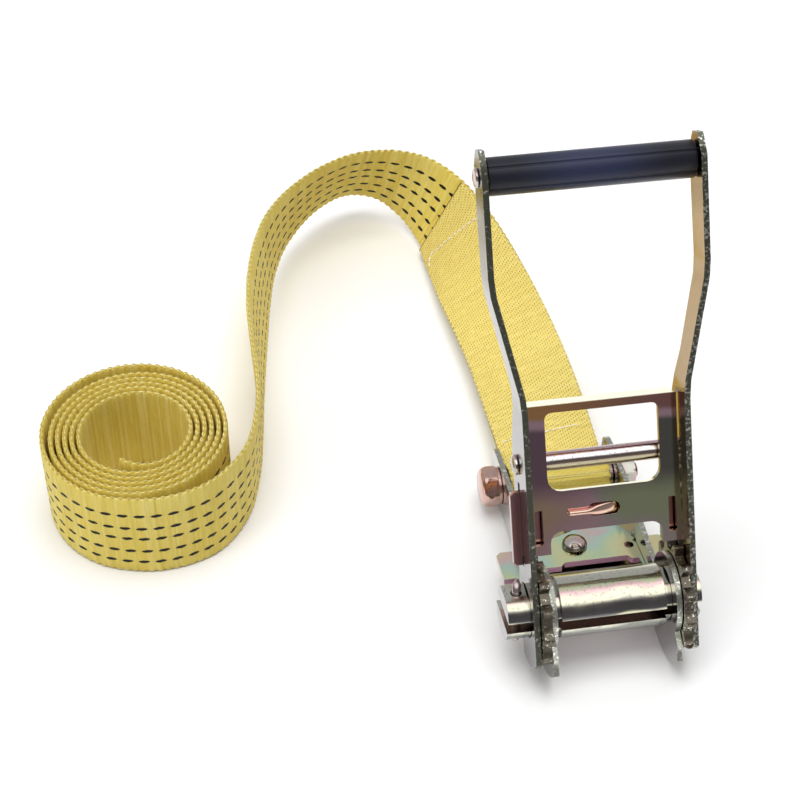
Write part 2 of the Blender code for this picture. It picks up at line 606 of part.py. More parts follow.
def build_strap(webbing, parent):
    pitch = math.radians(FRAME_PITCH)
    bolt_y = BOLT_Y * math.cos(pitch) + BOLT_Z * math.sin(pitch)
    bolt_z = DRUM_Z - BOLT_Y * math.sin(pitch) + BOLT_Z * math.cos(pitch)
    inner = SLEEVE_R + FIT
    outer = inner + STRAP_T
    tail = ROUTE[0][0][1] - FIT
    loop = arc((bolt_y, bolt_z), outer, 62, 298, 24)
    loop += [(bolt_y + 9.5, bolt_z - STRAP_T - 1.2), (tail, bolt_z - STRAP_T)]
    loop += [(tail, bolt_z + STRAP_T), (bolt_y + 9.5, bolt_z + STRAP_T + 1.2)]
    hollow = arc((bolt_y, bolt_z), inner, 46, 314, 24) + [(bolt_y + 9.4, bolt_z)]
    half = STRAP_W / 2
    eye = finish("strap_eye", prism(loop, -half, half), webbing, parent)
    cut(eye, tool("strap_eye_hollow", prism(hollow, -half - 1, half + 1), parent))

    stations = smooth_route(ROUTE, 4)
    seam = int(len(stations) * SEWN_PART)
    low, high = -STRAP_T / 2, STRAP_T / 2
    finish("strap_sewn", ribbon(stations[:seam + 1], low, high + STRAP_T), webbing, parent)
    gap = (stations[seam + 1][0] - stations[seam][0]).normalized() * FIT
    start = (stations[seam][0] + gap, stations[seam][1])
    finish("strap_free", ribbon([start] + stations[seam + 1:], low, high), webbing, parent)
    finish("strap_roll", ribbon(roll_stations(), low, high), webbing, parent)


def main():
    clear_scene()
    zinc = material("yellow_zinc", (0.62, 0.55, 0.40), 0.3, 1.0)
    copper = material("copper_zinc", (0.72, 0.48, 0.36), 0.28, 1.0)
    steel = material("spring_steel", (0.45, 0.42, 0.38), 0.35, 1.0)
    plastic = material("navy_plastic", (0.03, 0.035, 0.07), 0.35, 0.0)
    webbing = material("yellow_webbing", (0.87, 0.70, 0.16), 0.85, 0.0)

    frame_axes = empty("frame_axes", -FRAME_PITCH)
    handle_axes = empty("handle_axes", -HANDLE_LEAN)
    drum_axes = empty("drum_axes", DRUM_TURN)
    floor_axes = empty("floor_axes", 0)
    floor_axes.location.z = 0

    build_frame(zinc, copper, frame_axes)
    build_lock(zinc, steel, frame_axes)
    build_drum(zinc, steel, drum_axes)
    build_handle(zinc, copper, steel, plastic, handle_axes)
    build_drive_pawl(zinc, handle_axes)
    build_strap(webbing, floor_axes)


main()
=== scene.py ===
"""Looks of the ratchet tie down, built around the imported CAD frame.

Lengths in this file are millimetres, written to Blender in metres.  The
webbing is one ribbon swept along its route; every other new piece is drawn in
the local system of the body that it rides on.
"""
import json
import math

import bmesh
import bpy
import numpy as np
from mathutils import Matrix, Vector


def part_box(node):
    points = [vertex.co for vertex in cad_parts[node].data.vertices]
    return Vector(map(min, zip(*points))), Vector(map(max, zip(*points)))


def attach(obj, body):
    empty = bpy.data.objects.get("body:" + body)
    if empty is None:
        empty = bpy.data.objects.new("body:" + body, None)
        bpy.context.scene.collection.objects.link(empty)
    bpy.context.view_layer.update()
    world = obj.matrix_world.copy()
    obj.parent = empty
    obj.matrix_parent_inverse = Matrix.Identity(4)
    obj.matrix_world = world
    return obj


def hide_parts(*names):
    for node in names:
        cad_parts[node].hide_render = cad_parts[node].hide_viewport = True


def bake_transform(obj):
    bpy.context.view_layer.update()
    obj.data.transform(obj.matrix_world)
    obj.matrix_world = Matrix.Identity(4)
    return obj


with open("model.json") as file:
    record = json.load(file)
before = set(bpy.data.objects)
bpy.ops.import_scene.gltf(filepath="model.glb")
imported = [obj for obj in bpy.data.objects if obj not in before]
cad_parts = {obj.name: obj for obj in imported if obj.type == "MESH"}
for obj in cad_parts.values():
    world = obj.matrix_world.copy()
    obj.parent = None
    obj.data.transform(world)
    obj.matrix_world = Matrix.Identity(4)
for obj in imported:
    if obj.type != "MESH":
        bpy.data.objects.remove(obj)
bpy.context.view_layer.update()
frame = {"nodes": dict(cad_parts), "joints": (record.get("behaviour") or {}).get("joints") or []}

MM = 0.001


def joint(name):
    return next(j for j in frame["joints"] if j["name"] == name)


# ---- local systems, all with their origin on the drum axis ------------------
X_AXIS = Vector((1, 0, 0))
DRUM = Vector(joint("drum_spin")["pos_m"]) / MM
HANDLE_UP = Vector(joint("drive_pawl_slide")["axis"])
FRAME_REAR = Vector(joint("lock_plate_slide")["axis"])
FOOT = Vector((DRUM.x, DRUM.y, 0))


def system(origin, y_axis, z_axis):
    """Local millimetres to world metres, for a system that shares the X axis."""
    turn = Matrix((X_AXIS, y_axis, z_axis)).transposed().to_4x4()
    return Matrix.Scale(MM, 4) @ Matrix.Translation(origin) @ turn


ON_FLOOR = system(FOOT, Vector((0, 1, 0)), Vector((0, 0, 1)))
ON_DRUM = system(DRUM, Vector((0, 1, 0)), Vector((0, 0, 1)))
ON_HANDLE = system(DRUM, HANDLE_UP.cross(X_AXIS), HANDLE_UP)
ON_FRAME = system(DRUM, FRAME_REAR, X_AXIS.cross(FRAME_REAR))


def face_outwards(mesh):
    work = bmesh.new()
    work.from_mesh(mesh)
    bmesh.ops.recalc_face_normals(work, faces=work.faces)
    work.to_mesh(mesh)
    work.free()


# ---- node helpers ----------------------------------------------------------
class Tree:
    """A short way to write shader nodes: inputs are numbers or sockets."""

    def __init__(self, nodes, links):
        self.nodes, self.links = nodes, links

    def node(self, kind, **settings):
        made = self.nodes.new("ShaderNode" + kind)
        for key, value in settings.items():
            setattr(made, key, value)
        return made

    def feed(self, socket, value):
        if isinstance(value, bpy.types.NodeSocket):
            self.links.new(value, socket)
        else:
            socket.default_value = value

    def math(self, operation, *values, clamp=False):
        made = self.node("Math", operation=operation, use_clamp=clamp)
        for socket, value in zip(made.inputs, values):
            self.feed(socket, value)
        return made.outputs[0]

    def vector(self, operation, *values):
        made = self.node("VectorMath", operation=operation)
        for socket, value in zip(made.inputs, values):
            self.feed(socket, value)
        return made.outputs[0]

    def split(self, value):
        made = self.node("SeparateXYZ")
        self.feed(made.inputs[0], value)
        return made.outputs

    def ramp(self, value, stops):
        made = self.node("ValToRGB")
        points = made.color_ramp.elements
        while len(points) < len(stops):
            points.new(1.0)
        for point, (place, colour) in zip(points, stops):
            point.position = place
            point.color = (*colour, 1.0)
        self.feed(made.inputs[0], value)
        return made.outputs[0]

    def grey(self, value, low, high):
        """A smooth step from 0 at low to 1 at high."""
        made = self.node("MapRange", interpolation_type="SMOOTHSTEP")
        for socket, number in zip(made.inputs, (value, low, high, 0.0, 1.0)):
            self.feed(socket, number)
        return made.outputs[0]

    def noise(self, where, scale, detail=3.0, rough=0.5, stretch=(1, 1, 1), distortion=0.0):
        if stretch != (1, 1, 1):
            where = self.vector("MULTIPLY", where, stretch)
        made = self.node("TexNoise")
        self.feed(made.inputs["Vector"], where)
        made.inputs["Scale"].default_value = scale
        made.inputs["Detail"].default_value = detail
        made.inputs["Roughness"].default_value = rough
        made.inputs["Distortion"].default_value = distortion
        return made.outputs["Fac"]

    def mix(self, share, one, two, blend="MIX"):
        made = self.node("Mix", data_type="RGBA", blend_type=blend)
        self.feed(made.inputs[0], share)
        for socket, value in ((made.inputs[6], one), (made.inputs[7], two)):
            self.feed(socket, value if isinstance(value, bpy.types.NodeSocket) else (*value, 1.0))
        return made.outputs[2]

    def bump(self, height, distance, strength=1.0, under=None):
        made = self.node("Bump")
        made.inputs["Distance"].default_value = distance
        made.inputs["Strength"].default_value = strength
        self.feed(made.inputs["Height"], height)
        if under:
            self.feed(made.inputs["Normal"], under)
        return made.outputs[0]


def new_material(name):
    made = bpy.data.materials.new(name)
    made.use_nodes = True
    tree = Tree(made.node_tree.nodes, made.node_tree.links)
    return made, tree, made.node_tree.nodes["Principled BSDF"].inputs


# ---- materials -------------------------------------------------------------
NEUTRAL = (0.50, 0.49, 0.50)
OLIVE = (0.52, 0.50, 0.34)
GOLD = (0.86, 0.74, 0.36)
PINK = (0.84, 0.56, 0.60)
GREEN = (0.58, 0.70, 0.44)
GREY = (0.62, 0.62, 0.56)
PURPLE = (0.50, 0.32, 0.38)
COPPER = (0.86, 0.55, 0.44)
CREAM = (0.95, 0.93, 0.72)
ORANGE = (0.82, 0.46, 0.20)
MAROON = (0.50, 0.25, 0.24)
LOCK_TINTS = [(0.92, 0.82, 0.46), (0.86, 0.90, 0.54), (0.72, 0.90, 0.60), (0.66, 0.86, 0.76), (0.92, 0.68, 0.66),
              (0.90, 0.82, 0.48)]
# Painted reflection round a shaft: degrees above the horizon that the surface faces, from the front over the top, and
# the tint there;
# the cream and pale stops are painted highlights, the dark grey stops painted dark reflection.
SHAFT_PAINTED_REFLECTION = [(-150, OLIVE), (-90, PINK), (-45, (0.40, 0.41, 0.37)), (-12, (0.36, 0.37, 0.34)),
               (-2, (0.95, 0.94, 0.78)), (16, (0.90, 0.90, 0.62)), (22, (0.80, 0.80, 0.58)), (27, (0.24, 0.23, 0.24)),
               (42, (0.28, 0.27, 0.27)), (49, (0.50, 0.48, 0.44)), (54, CREAM), (64, (0.97, 0.93, 0.70)),
               (74, PINK), (84, GREEN), (96, GREY), (150, OLIVE)]
# Painted reflection round the finger rod: the near-white stops are a painted highlight, the dark stops below them
# painted shade.
ROD_PAINTED_REFLECTION = [(-150, OLIVE), (-60, COPPER), (0, OLIVE), (18, (0.56, 0.44, 0.32)), (34, (0.40, 0.32, 0.32)),
             (46, (0.95, 0.90, 0.90)), (66, (0.95, 0.90, 0.90)), (80, (0.70, 0.52, 0.56)),
             (120, (0.66, 0.50, 0.52)), (160, OLIVE)]


def shade_plating(tree, shader, where, colour, roughness):
    """Everything but the tint of a plated sheet: haze, fine specks and rolling marks."""
    haze = tree.noise(where, 210.0, 4.0, 0.6)
    colour = tree.mix(tree.math("MULTIPLY", haze, 0.12), colour, (0.45, 0.42, 0.34), "MULTIPLY")
    specks = tree.grey(tree.noise(where, 2600.0, 1.0), 0.70, 0.76)
    colour = tree.mix(tree.math("MULTIPLY", specks, 0.18), colour, (0.95, 0.93, 0.86))
    tree.feed(shader["Base Color"], colour)
    shader["Metallic"].default_value = 1.0
    grain = tree.noise(where, 900.0, 2.0, 0.5, (1, 0.12, 0.12))
    rough = tree.math("MULTIPLY_ADD", tree.math("SUBTRACT", haze, 0.5), 0.12, roughness)
    rough = tree.math("MULTIPLY_ADD", tree.math("SUBTRACT", grain, 0.5), 0.05, rough)
    tree.feed(shader["Roughness"], rough)
    dents = tree.noise(where, 90.0, 2.0, 0.5)
    bumped = tree.bump(dents, 0.00012, 0.35)
    tree.feed(shader["Normal"], tree.bump(grain, 0.00002, 0.4, bumped))


def sideways(tree):
    """1 where a face looks along the drum's axis, 0 elsewhere."""
    normal = tree.split(tree.node("TexCoord").outputs["Normal"])
    return tree.grey(tree.math("ABSOLUTE", normal[0]), 0.80, 0.97)


def zinc(name, tints, film_scale=22.0, roughness=0.16, offset=0.0, side=NEUTRAL):
    """Yellow zinc plating: a chromate film whose tint drifts over the steel; side is the tint of its flanks."""
    made, tree, shader = new_material(name)
    where = tree.node("TexCoord").outputs["Object"]
    shifted = tree.vector("ADD", where, (offset, offset * 0.7, -offset))
    film = tree.grey(tree.noise(shifted, film_scale, 2.0, 0.45, distortion=0.4), 0.28, 0.72)
    last = len(tints) - 1
    colour = tree.ramp(film, [(i / last, tint) for i, tint in enumerate(tints)])
    if side:
        drift = tree.mix(tree.math("MULTIPLY", film, 0.35), side, tints[0])
        colour = tree.mix(sideways(tree), colour, drift)
    shade_plating(tree, shader, where, colour, roughness)
    return made


def handle_zinc(name):
    """The handle's plating: purple stiles with painted shade, a mauve and olive web with a painted highlight where it
    bends, an orange to maroon crossbar, painted cream reflection on faces that look up and painted reflection on the
    flanks.
    """
    made, tree, shader = new_material(name)
    where = tree.node("TexCoord").outputs["Object"]
    local = tree.vector("SUBTRACT", tree.vector("MULTIPLY", where, (1000.0, 1000.0, 1000.0)), tuple(DRUM))
    dot = tree.node("VectorMath", operation="DOT_PRODUCT")
    tree.feed(dot.inputs[0], local)
    tree.feed(dot.inputs[1], tuple(HANDLE_UP))
    along = dot.outputs["Value"]
    x = tree.split(local)[0]
    blur = tree.noise(where, 26.0, 2.0, 0.5)
    film = tree.grey(tree.noise(tree.vector("ADD", where, (0.31, 0.0, 0.0)), 21.0, 1.5, 0.4, distortion=0.3),
                     0.30, 0.70)
    bridge = tree.ramp(film, [(0.0, (0.56, 0.62, 0.40)), (0.20, (0.64, 0.58, 0.54)), (0.38, (0.84, 0.55, 0.62)),
                              (0.70, (0.76, 0.50, 0.50)), (1.0, (0.72, 0.54, 0.36))])
    # The stiles are darker than the web: partly their purple film, partly painted shade.
    stiles = tree.mix(tree.grey(x, -20.0, 30.0), (0.33, 0.21, 0.27), (0.22, 0.22, 0.20))
    front = tree.mix(tree.grey(x, -34.0, 34.0), ORANGE, MAROON)
    height = tree.math("MULTIPLY_ADD", tree.math("SUBTRACT", blur, 0.5), 9.0, along)
    colour = tree.mix(tree.grey(height, 47.0, 62.0), bridge, stiles)
    # A narrow pale pink band where the web bends: a painted highlight.
    colour = tree.mix(tree.grey(height, 82.5, 85.5), colour, (0.88, 0.60, 0.70))
    colour = tree.mix(tree.grey(height, 86.5, 89.5), colour, front)
    # Faces that look up are painted cream: a painted reflection.
    upward = tree.split(tree.node("TexCoord").outputs["Normal"])[2]
    colour = tree.mix(tree.grey(upward, 0.70, 0.84), colour, CREAM)
    # Flanks are coloured by the way they look, tan on the inner side and grey on the outer: painted reflection.
    inner = tree.mix(tree.grey(along, 96.0, 150.0), (0.38, 0.26, 0.13), (0.47, 0.33, 0.18))
    normal_x = tree.split(tree.node("TexCoord").outputs["Normal"])[0]
    outward = tree.grey(tree.math("MULTIPLY", normal_x, x), 0.0, 20.0)
    flank_painted_reflection = tree.mix(outward, inner, (0.33, 0.33, 0.34))
    colour = tree.mix(sideways(tree), colour, flank_painted_reflection)
    shade_plating(tree, shader, where, colour, 0.13)
    return made


def plating_with_painted_reflection(name, stops, roughness=0.15):
    """Plating with painted reflection: its tint runs round a shaft by the way the surface faces, so its highlights
    and dark bands are painted;
    stops are (degrees above the horizon that the surface faces, tint).
    """
    made, tree, shader = new_material(name)
    where = tree.node("TexCoord").outputs["Object"]
    normal = tree.split(tree.node("TexCoord").outputs["Normal"])
    blur = tree.math("MULTIPLY", tree.math("SUBTRACT", tree.noise(where, 45.0, 2.0, 0.5), 0.5), 0.10)
    forward = tree.math("MULTIPLY", normal[1], -1.0)
    turn = tree.math("MULTIPLY", tree.math("ARCTAN2", normal[2], forward), 1 / math.pi)
    place = tree.math("ADD", tree.math("MULTIPLY_ADD", turn, 0.5, 0.5), blur)
    colour = tree.ramp(place, [(0.5 + degrees / 360, tint) for degrees, tint in stops])
    colour = tree.mix(sideways(tree), colour, NEUTRAL)
    rolling = tree.noise(where, 700.0, 2.0, 0.6)
    colour = tree.mix(tree.math("MULTIPLY", tree.grey(rolling, 0.55, 0.68), 0.4), colour, (0.22, 0.22, 0.20))
    shade_plating(tree, shader, where, colour, roughness)
    return made


def cut_edge(name, dark, share=(0.60, 0.68), relief=0.00030, painted_glints_right=0.0):
    """The sheared edge of the sheet: dark and coarse, with painted glints, pale specks put into its colour where the
    coarse noise is high.
    """
    made, tree, shader = new_material(name)
    where = tree.node("TexCoord").outputs["Object"]
    coarse = tree.noise(where, 800.0, 2.0, 0.6)
    # Raising the coarse noise on the right arm gives it more painted glints.
    if painted_glints_right:
        right = tree.grey(tree.split(where)[0], DRUM.x * MM - 0.01, DRUM.x * MM + 0.01)
        coarse = tree.math("MULTIPLY_ADD", right, painted_glints_right, coarse)
    painted_glints = tree.grey(coarse, *share)
    tree.feed(shader["Base Color"], tree.mix(painted_glints, dark, (0.92, 0.92, 0.84)))
    shader["Metallic"].default_value = 1.0
    tree.feed(shader["Roughness"], tree.math("MULTIPLY_ADD", painted_glints, -0.1, 0.34))
    tree.feed(shader["Normal"], tree.bump(coarse, relief, 0.6))
    return made


def wire_steel(name, dark=(0.30, 0.27, 0.24), pale=(0.66, 0.60, 0.52)):
    made, tree, shader = new_material(name)
    where = tree.node("TexCoord").outputs["Object"]
    drawn = tree.noise(where, 700.0, 3.0, 0.6)
    tree.feed(shader["Base Color"], tree.mix(drawn, dark, pale))
    shader["Metallic"].default_value = 1.0
    tree.feed(shader["Roughness"], tree.math("MULTIPLY_ADD", drawn, 0.16, 0.14))
    return made


def moulded_plastic(name):
    made, tree, shader = new_material(name)
    where = tree.node("TexCoord").outputs["Object"]
    grain = tree.noise(where, 1800.0, 2.0, 0.5)
    from_middle = tree.math("ABSOLUTE", tree.math("SUBTRACT", tree.split(where)[0], DRUM.x * MM))
    # Painted highlight: the middle of the grip is a brighter blue, as if a light shone on it there, and the ends are
    # darker.
    middle = tree.grey(from_middle, 0.036, 0.004)
    tree.feed(shader["Base Color"], tree.mix(middle, (0.007, 0.008, 0.015), (0.018, 0.023, 0.058)))
    tree.feed(shader["Roughness"], tree.math("MULTIPLY_ADD", grain, 0.10, 0.30))
    tree.feed(shader["Normal"], tree.bump(grain, 0.00004, 0.4))
    return made


# ---- webbing: sizes --------------------------------------------------------
STRAP_W = 50.0
STRAP_T = 2.5                  # one layer, between the tops of its ribs
LAYER_GAP = 2.75               # from layer to layer where it is sewn
SLEEVE_R = 6.2
SLEEVE_GAP = 0.4
SEWN_LENGTH = 189.0            # from the anchor bolt's pinch to the tail's end
DASH_PITCH = 7.8
DASH_LENGTH = 5.3
DASH_WIDE = 2.1
DASH_ROWS = (0.22, 0.39, 0.53, 0.70, 0.85)     # shares of the width, from the upper edge
DASH_SHIFTS = (0.0, 0.07, 0.14, 0.24, -0.03)   # how far each row is out of step
SCALLOP = DASH_PITCH / 2
WEFT_PITCH = 2.2
WARP_PITCH = 1.25              # from column to column of the twill
WARP_THREAD = 0.62             # from thread to thread
SELVEDGE = 1.2                 # how far in the twisted edge reaches


def woven(name):
    """Yellow polyester webbing.  The weave attribute holds (width, length, face)."""
    made, tree, shader = new_material(name)
    weave = tree.node("Attribute", attribute_name="weave").outputs["Vector"]
    across, along, face = tree.split(weave)
    where = tree.node("TexCoord").outputs["Object"]

    # Dashes: five rows of lens-shaped floats of black thread.
    dashes = 0.0
    for row, shift in zip(DASH_ROWS, DASH_SHIFTS):
        step = tree.math("FRACT", tree.math("MULTIPLY_ADD", along, 1 / DASH_PITCH, shift))
        run = tree.math("MULTIPLY", tree.math("SUBTRACT", step, 0.5), 2 * DASH_PITCH / DASH_LENGTH)
        belly = tree.math("SQRT", tree.math("SUBTRACT", 1.0, tree.math("POWER", run, 2.0), clamp=True))
        sheared = tree.math("MULTIPLY_ADD", run, 0.16, across)
        reach = tree.math("ABSOLUTE", tree.math("SUBTRACT", sheared, STRAP_W * (1 - row)))
        inside = tree.math("SUBTRACT", tree.math("MULTIPLY", belly, DASH_WIDE / 2), reach)
        dashes = tree.math("MAXIMUM", dashes, tree.grey(inside, 0.0, 0.14))
        buried = tree.math("MULTIPLY", tree.grey(reach, 0.14, 0.05), 0.20)
        dashes = tree.math("MAXIMUM", dashes, buried)
    on_face = tree.grey(face, 0.8, 0.95)
    dashes = tree.math("MULTIPLY", dashes, on_face)

    # Warp threads on both faces, and the dotted twill of the plain face.
    warp = tree.math("SINE", tree.math("MULTIPLY", across, 2 * math.pi / WARP_THREAD))
    plain = tree.grey(face, 0.2, 0.05)
    doubled = tree.grey(along, SEWN_LENGTH + 12.0, SEWN_LENGTH + 2.0)
    column = tree.math("MULTIPLY", across, 1 / WARP_PITCH)
    row = tree.math("MULTIPLY_ADD", along, 1 / WEFT_PITCH,
                    tree.math("MULTIPLY", tree.math("FLOOR", column), 0.31))
    dot_x = tree.math("SUBTRACT", tree.math("FRACT", column), 0.5)
    dot_y = tree.math("SUBTRACT", tree.math("FRACT", row), 0.5)
    reach = tree.math("ADD", tree.math("POWER", tree.math("MULTIPLY", dot_x, 1.5), 2.0),
                      tree.math("POWER", tree.math("MULTIPLY", dot_y, 1.15), 2.0))
    uneven = tree.noise(weave, 0.5, 2.0, 0.6, (0.35, 1.0, 1.0))
    strong = tree.math("MULTIPLY", tree.math("MULTIPLY_ADD", doubled, 0.75, 0.25), tree.grey(uneven, 0.25, 0.55))
    dots = tree.math("MULTIPLY", tree.math("MULTIPLY", tree.grey(reach, 0.19, 0.03), plain), strong)

    # Weft ribs across the strap, their light and shade painted as pale and deep stripes, strongest where it is bent;
    # the ribs also bump the normal.
    stripes = tree.noise(weave, 0.42, 2.0, 0.65, (0.012, 1.0, 6.0))
    fine = tree.noise(weave, 1.3, 1.0, 0.5, (0.02, 1.0, 6.0))
    bent = tree.math("SUBTRACT", tree.math("MULTIPLY_ADD", face, -0.45, 1.0), tree.math("MULTIPLY", doubled, 0.5),
                     clamp=True)
    pale = tree.math("MULTIPLY", tree.grey(stripes, 0.50, 0.66), bent)
    painted_rib_shade = tree.math("MULTIPLY", tree.grey(stripes, 0.50, 0.34), bent)

    drift = tree.noise(where, 14.0, 2.0, 0.5)
    patchy = tree.noise(weave, 0.35, 3.0, 0.6, (0.25, 1.4, 1.0))
    colour = tree.ramp(tree.math("MULTIPLY_ADD", patchy, 0.6, tree.math("MULTIPLY", drift, 0.4)),
                       [(0.25, (0.71, 0.51, 0.07)), (0.50, (0.77, 0.61, 0.12)), (0.75, (0.81, 0.71, 0.20))])
    colour = tree.mix(tree.math("MULTIPLY", doubled, 0.8), colour, (0.84, 0.69, 0.21))
    # Pale stripes are painted light on the ribs, deep stripes painted shade between them.
    colour = tree.mix(tree.math("MULTIPLY", pale, 0.35), colour, (0.90, 0.84, 0.42))
    colour = tree.mix(tree.math("MULTIPLY", painted_rib_shade, 0.40), colour, (0.52, 0.40, 0.07))
    threads = tree.math("MULTIPLY_ADD", warp, 0.05, 0.05)
    colour = tree.mix(threads, colour, (0.45, 0.30, 0.04))
    colour = tree.mix(tree.math("MULTIPLY", dots, 0.85), colour, (0.40, 0.24, 0.03))

    # The selvedge: twisted strands, with painted shade in the gaps between them and a painted highlight on each
    # crest; the twist also bumps the normal.
    rim = tree.grey(tree.math("ABSOLUTE", tree.math("SUBTRACT", across, STRAP_W / 2)), STRAP_W / 2 - SELVEDGE,
                    STRAP_W / 2 - 0.1)
    twist = tree.math("SINE", tree.math("MULTIPLY_ADD", along, 2 * math.pi / SCALLOP,
                                        tree.math("MULTIPLY", face, 5.2)))
    painted_gap_shade = tree.math("MULTIPLY", tree.grey(twist, -0.35, -0.95), rim)
    painted_crest_highlight = tree.math("MULTIPLY", tree.grey(twist, 0.3, 1.0), rim)
    colour = tree.mix(tree.math("MULTIPLY", painted_gap_shade, 0.60), colour, (0.36, 0.24, 0.03))
    colour = tree.mix(tree.math("MULTIPLY", painted_crest_highlight, 0.50), colour, (0.97, 0.90, 0.50))
    # The tail's cut end is dark brown: the cut end itself and a painted shadow line along it.
    colour = tree.mix(tree.grey(along, 1.0, 0.4), colour, (0.22, 0.14, 0.02))
    colour = tree.mix(dashes, colour, (0.004, 0.004, 0.006))
    tree.feed(shader["Base Color"], colour)
    tree.feed(shader["Roughness"], tree.math("MULTIPLY_ADD", patchy, 0.15, 0.55))
    shader["Specular IOR Level"].default_value = 0.25
    shader["Sheen Weight"].default_value = 0.06
    shader["Sheen Roughness"].default_value = 0.4
    height = tree.math("MULTIPLY_ADD", warp, 0.25, tree.math("MULTIPLY", dots, -1.6))
    height = tree.math("ADD", height, tree.math("MULTIPLY", dashes, 0.5))
    height = tree.math("MULTIPLY_ADD", fine, 2.2, height)
    height = tree.math("MULTIPLY_ADD", twist, tree.math("MULTIPLY", rim, 2.0), height)
    ribs = tree.math("MULTIPLY", tree.math("MULTIPLY", stripes, bent), 5.0)
    tree.feed(shader["Normal"], tree.bump(tree.math("ADD", height, ribs), 0.00016, 0.9))
    return made


def white_thread(name):
    made, tree, shader = new_material(name)
    where = tree.node("TexCoord").outputs["Object"]
    lay = tree.noise(where, 2500.0, 2.0)
    tree.feed(shader["Base Color"], tree.mix(lay, (0.84, 0.74, 0.64), (0.96, 0.93, 0.88)))
    shader["Roughness"].default_value = 0.6
    return made


# ---- webbing: shape --------------------------------------------------------
# Middle of the single strap and its width direction, from the bolt to the roll.
ROUTE = [
    ((0, 106.5, 12.9), (1, 0, 0)),
    ((0, 131, 13.0), (0.99, 0.03, 0.11)),
    ((-1, 158, 14.8), (0.96, 0.06, 0.26)),
    ((-2.6, 188.4, 15.0), (0.94, 0.16, 0.29)),
    ((-5.6, 216.6, 16.3), (0.90, 0.18, 0.37)),
    ((-9.7, 243.6, 18.5), (0.83, 0.15, 0.54)),
    ((-14.4, 270.5, 21.3), (0.665, 0.07, 0.73)),
    ((-21.5, 296, 24.8), (0.47, -0.03, 0.88)),
    ((-33.5, 314, 29.8), (0.31, -0.19, 0.93)),
    ((-50, 323, 35.0), (0.18, -0.36, 0.91)),
    ((-70, 322.5, 37.5), (0.11, -0.42, 0.90)),
    ((-90.5, 313, 35.5), (0.08, -0.36, 0.93)),
    ((-108, 297.5, 31.5), (0.04, -0.23, 0.97)),
    ((-120, 278, 28.4), (-0.05, -0.12, 0.99)),
    ((-127.5, 255, 26.6), (-0.12, -0.04, 0.99)),
    ((-132.5, 230, 25.8), (-0.15, 0.01, 0.99)),
    ((-136, 205, 25.5), (-0.13, 0.02, 0.99)),
    ((-138.3, 179, 25.3), (-0.07, 0.01, 1)),
    ((-140, 153, 25.2), (0, 0, 1)),
    ((-143.5, 128, 25.1), (0.03, 0, 1)),
    ((-151, 104, 25.1), (0.03, 0, 1)),
    ((-165, 85.8, 25.1), (0, 0, 1)),
    ((-180.5, 77.8, 25.1), (0, 0, 1)),
    ((-197, 75.6, 25.1), (0, 0, 1)),
    ((-211, 78.1, 25.1), (0, 0, 1)),
    ((-220.7, 81.8, 25.1), (0, 0, 1)),
    ((-228.4, 86.9, 25.1), (0, 0, 1)),
    ((-232.1, 90.3, 25.1), (0, 0, 1)),
]
ROUTE_STEPS = 30               # points from one row of the route to the next
STATION = 0.55                 # from ring to ring of the webbing's mesh
ROLL_X, ROLL_Y = -201.0, 122.0
ROLL_R = 44.4                  # to the middle of the outermost wrap
ROLL_PITCH = 3.32
ROLL_TURNS = 5.95
ROLL_START = -135.0
ROLL_SLACK = 3.0               # how far the outermost wrap stands off, at most
ROLL_CURL = (70.0, 5.0)        # the inner end: its last degrees, and how far it turns in


def catmull_rom(points, steps):
    """Points on a smooth curve through the rows of an array."""
    padded = np.vstack([2 * points[0] - points[1], points, 2 * points[-1] - points[-2]])
    out = []
    for i in range(1, len(padded) - 2):
        a, b, c, d = padded[i - 1:i + 3]
        t = (np.arange(steps) / steps)[:, None]
        out.append(0.5 * (2 * b + (c - a) * t + (2 * a - 5 * b + 4 * c - d) * t ** 2
                          + (3 * b - a - 3 * c + d) * t ** 3))
    out.append(points[-1][None])
    return np.vstack(out)


def unit(rows):
    return rows / np.linalg.norm(rows, axis=1)[:, None]


def lengths(centres):
    steps = np.linalg.norm(np.diff(centres, axis=0), axis=1)
    return np.concatenate([[0.0], np.cumsum(steps)])


def with_normals(centres, across):
    ahead = unit(np.gradient(centres, axis=0))
    across = unit(across - ahead * np.sum(across * ahead, axis=1)[:, None])
    return across, np.cross(across, ahead)


def single_line():
    """Centres, width directions and normals of the single strap, from the bolt to the roll."""
    table = np.array([[*place, *wide] for place, wide in ROUTE], float)
    route = catmull_rom(table, ROUTE_STEPS)
    centres, across = route[:, :3], route[:, 3:]
    return (centres, *with_normals(centres, across))


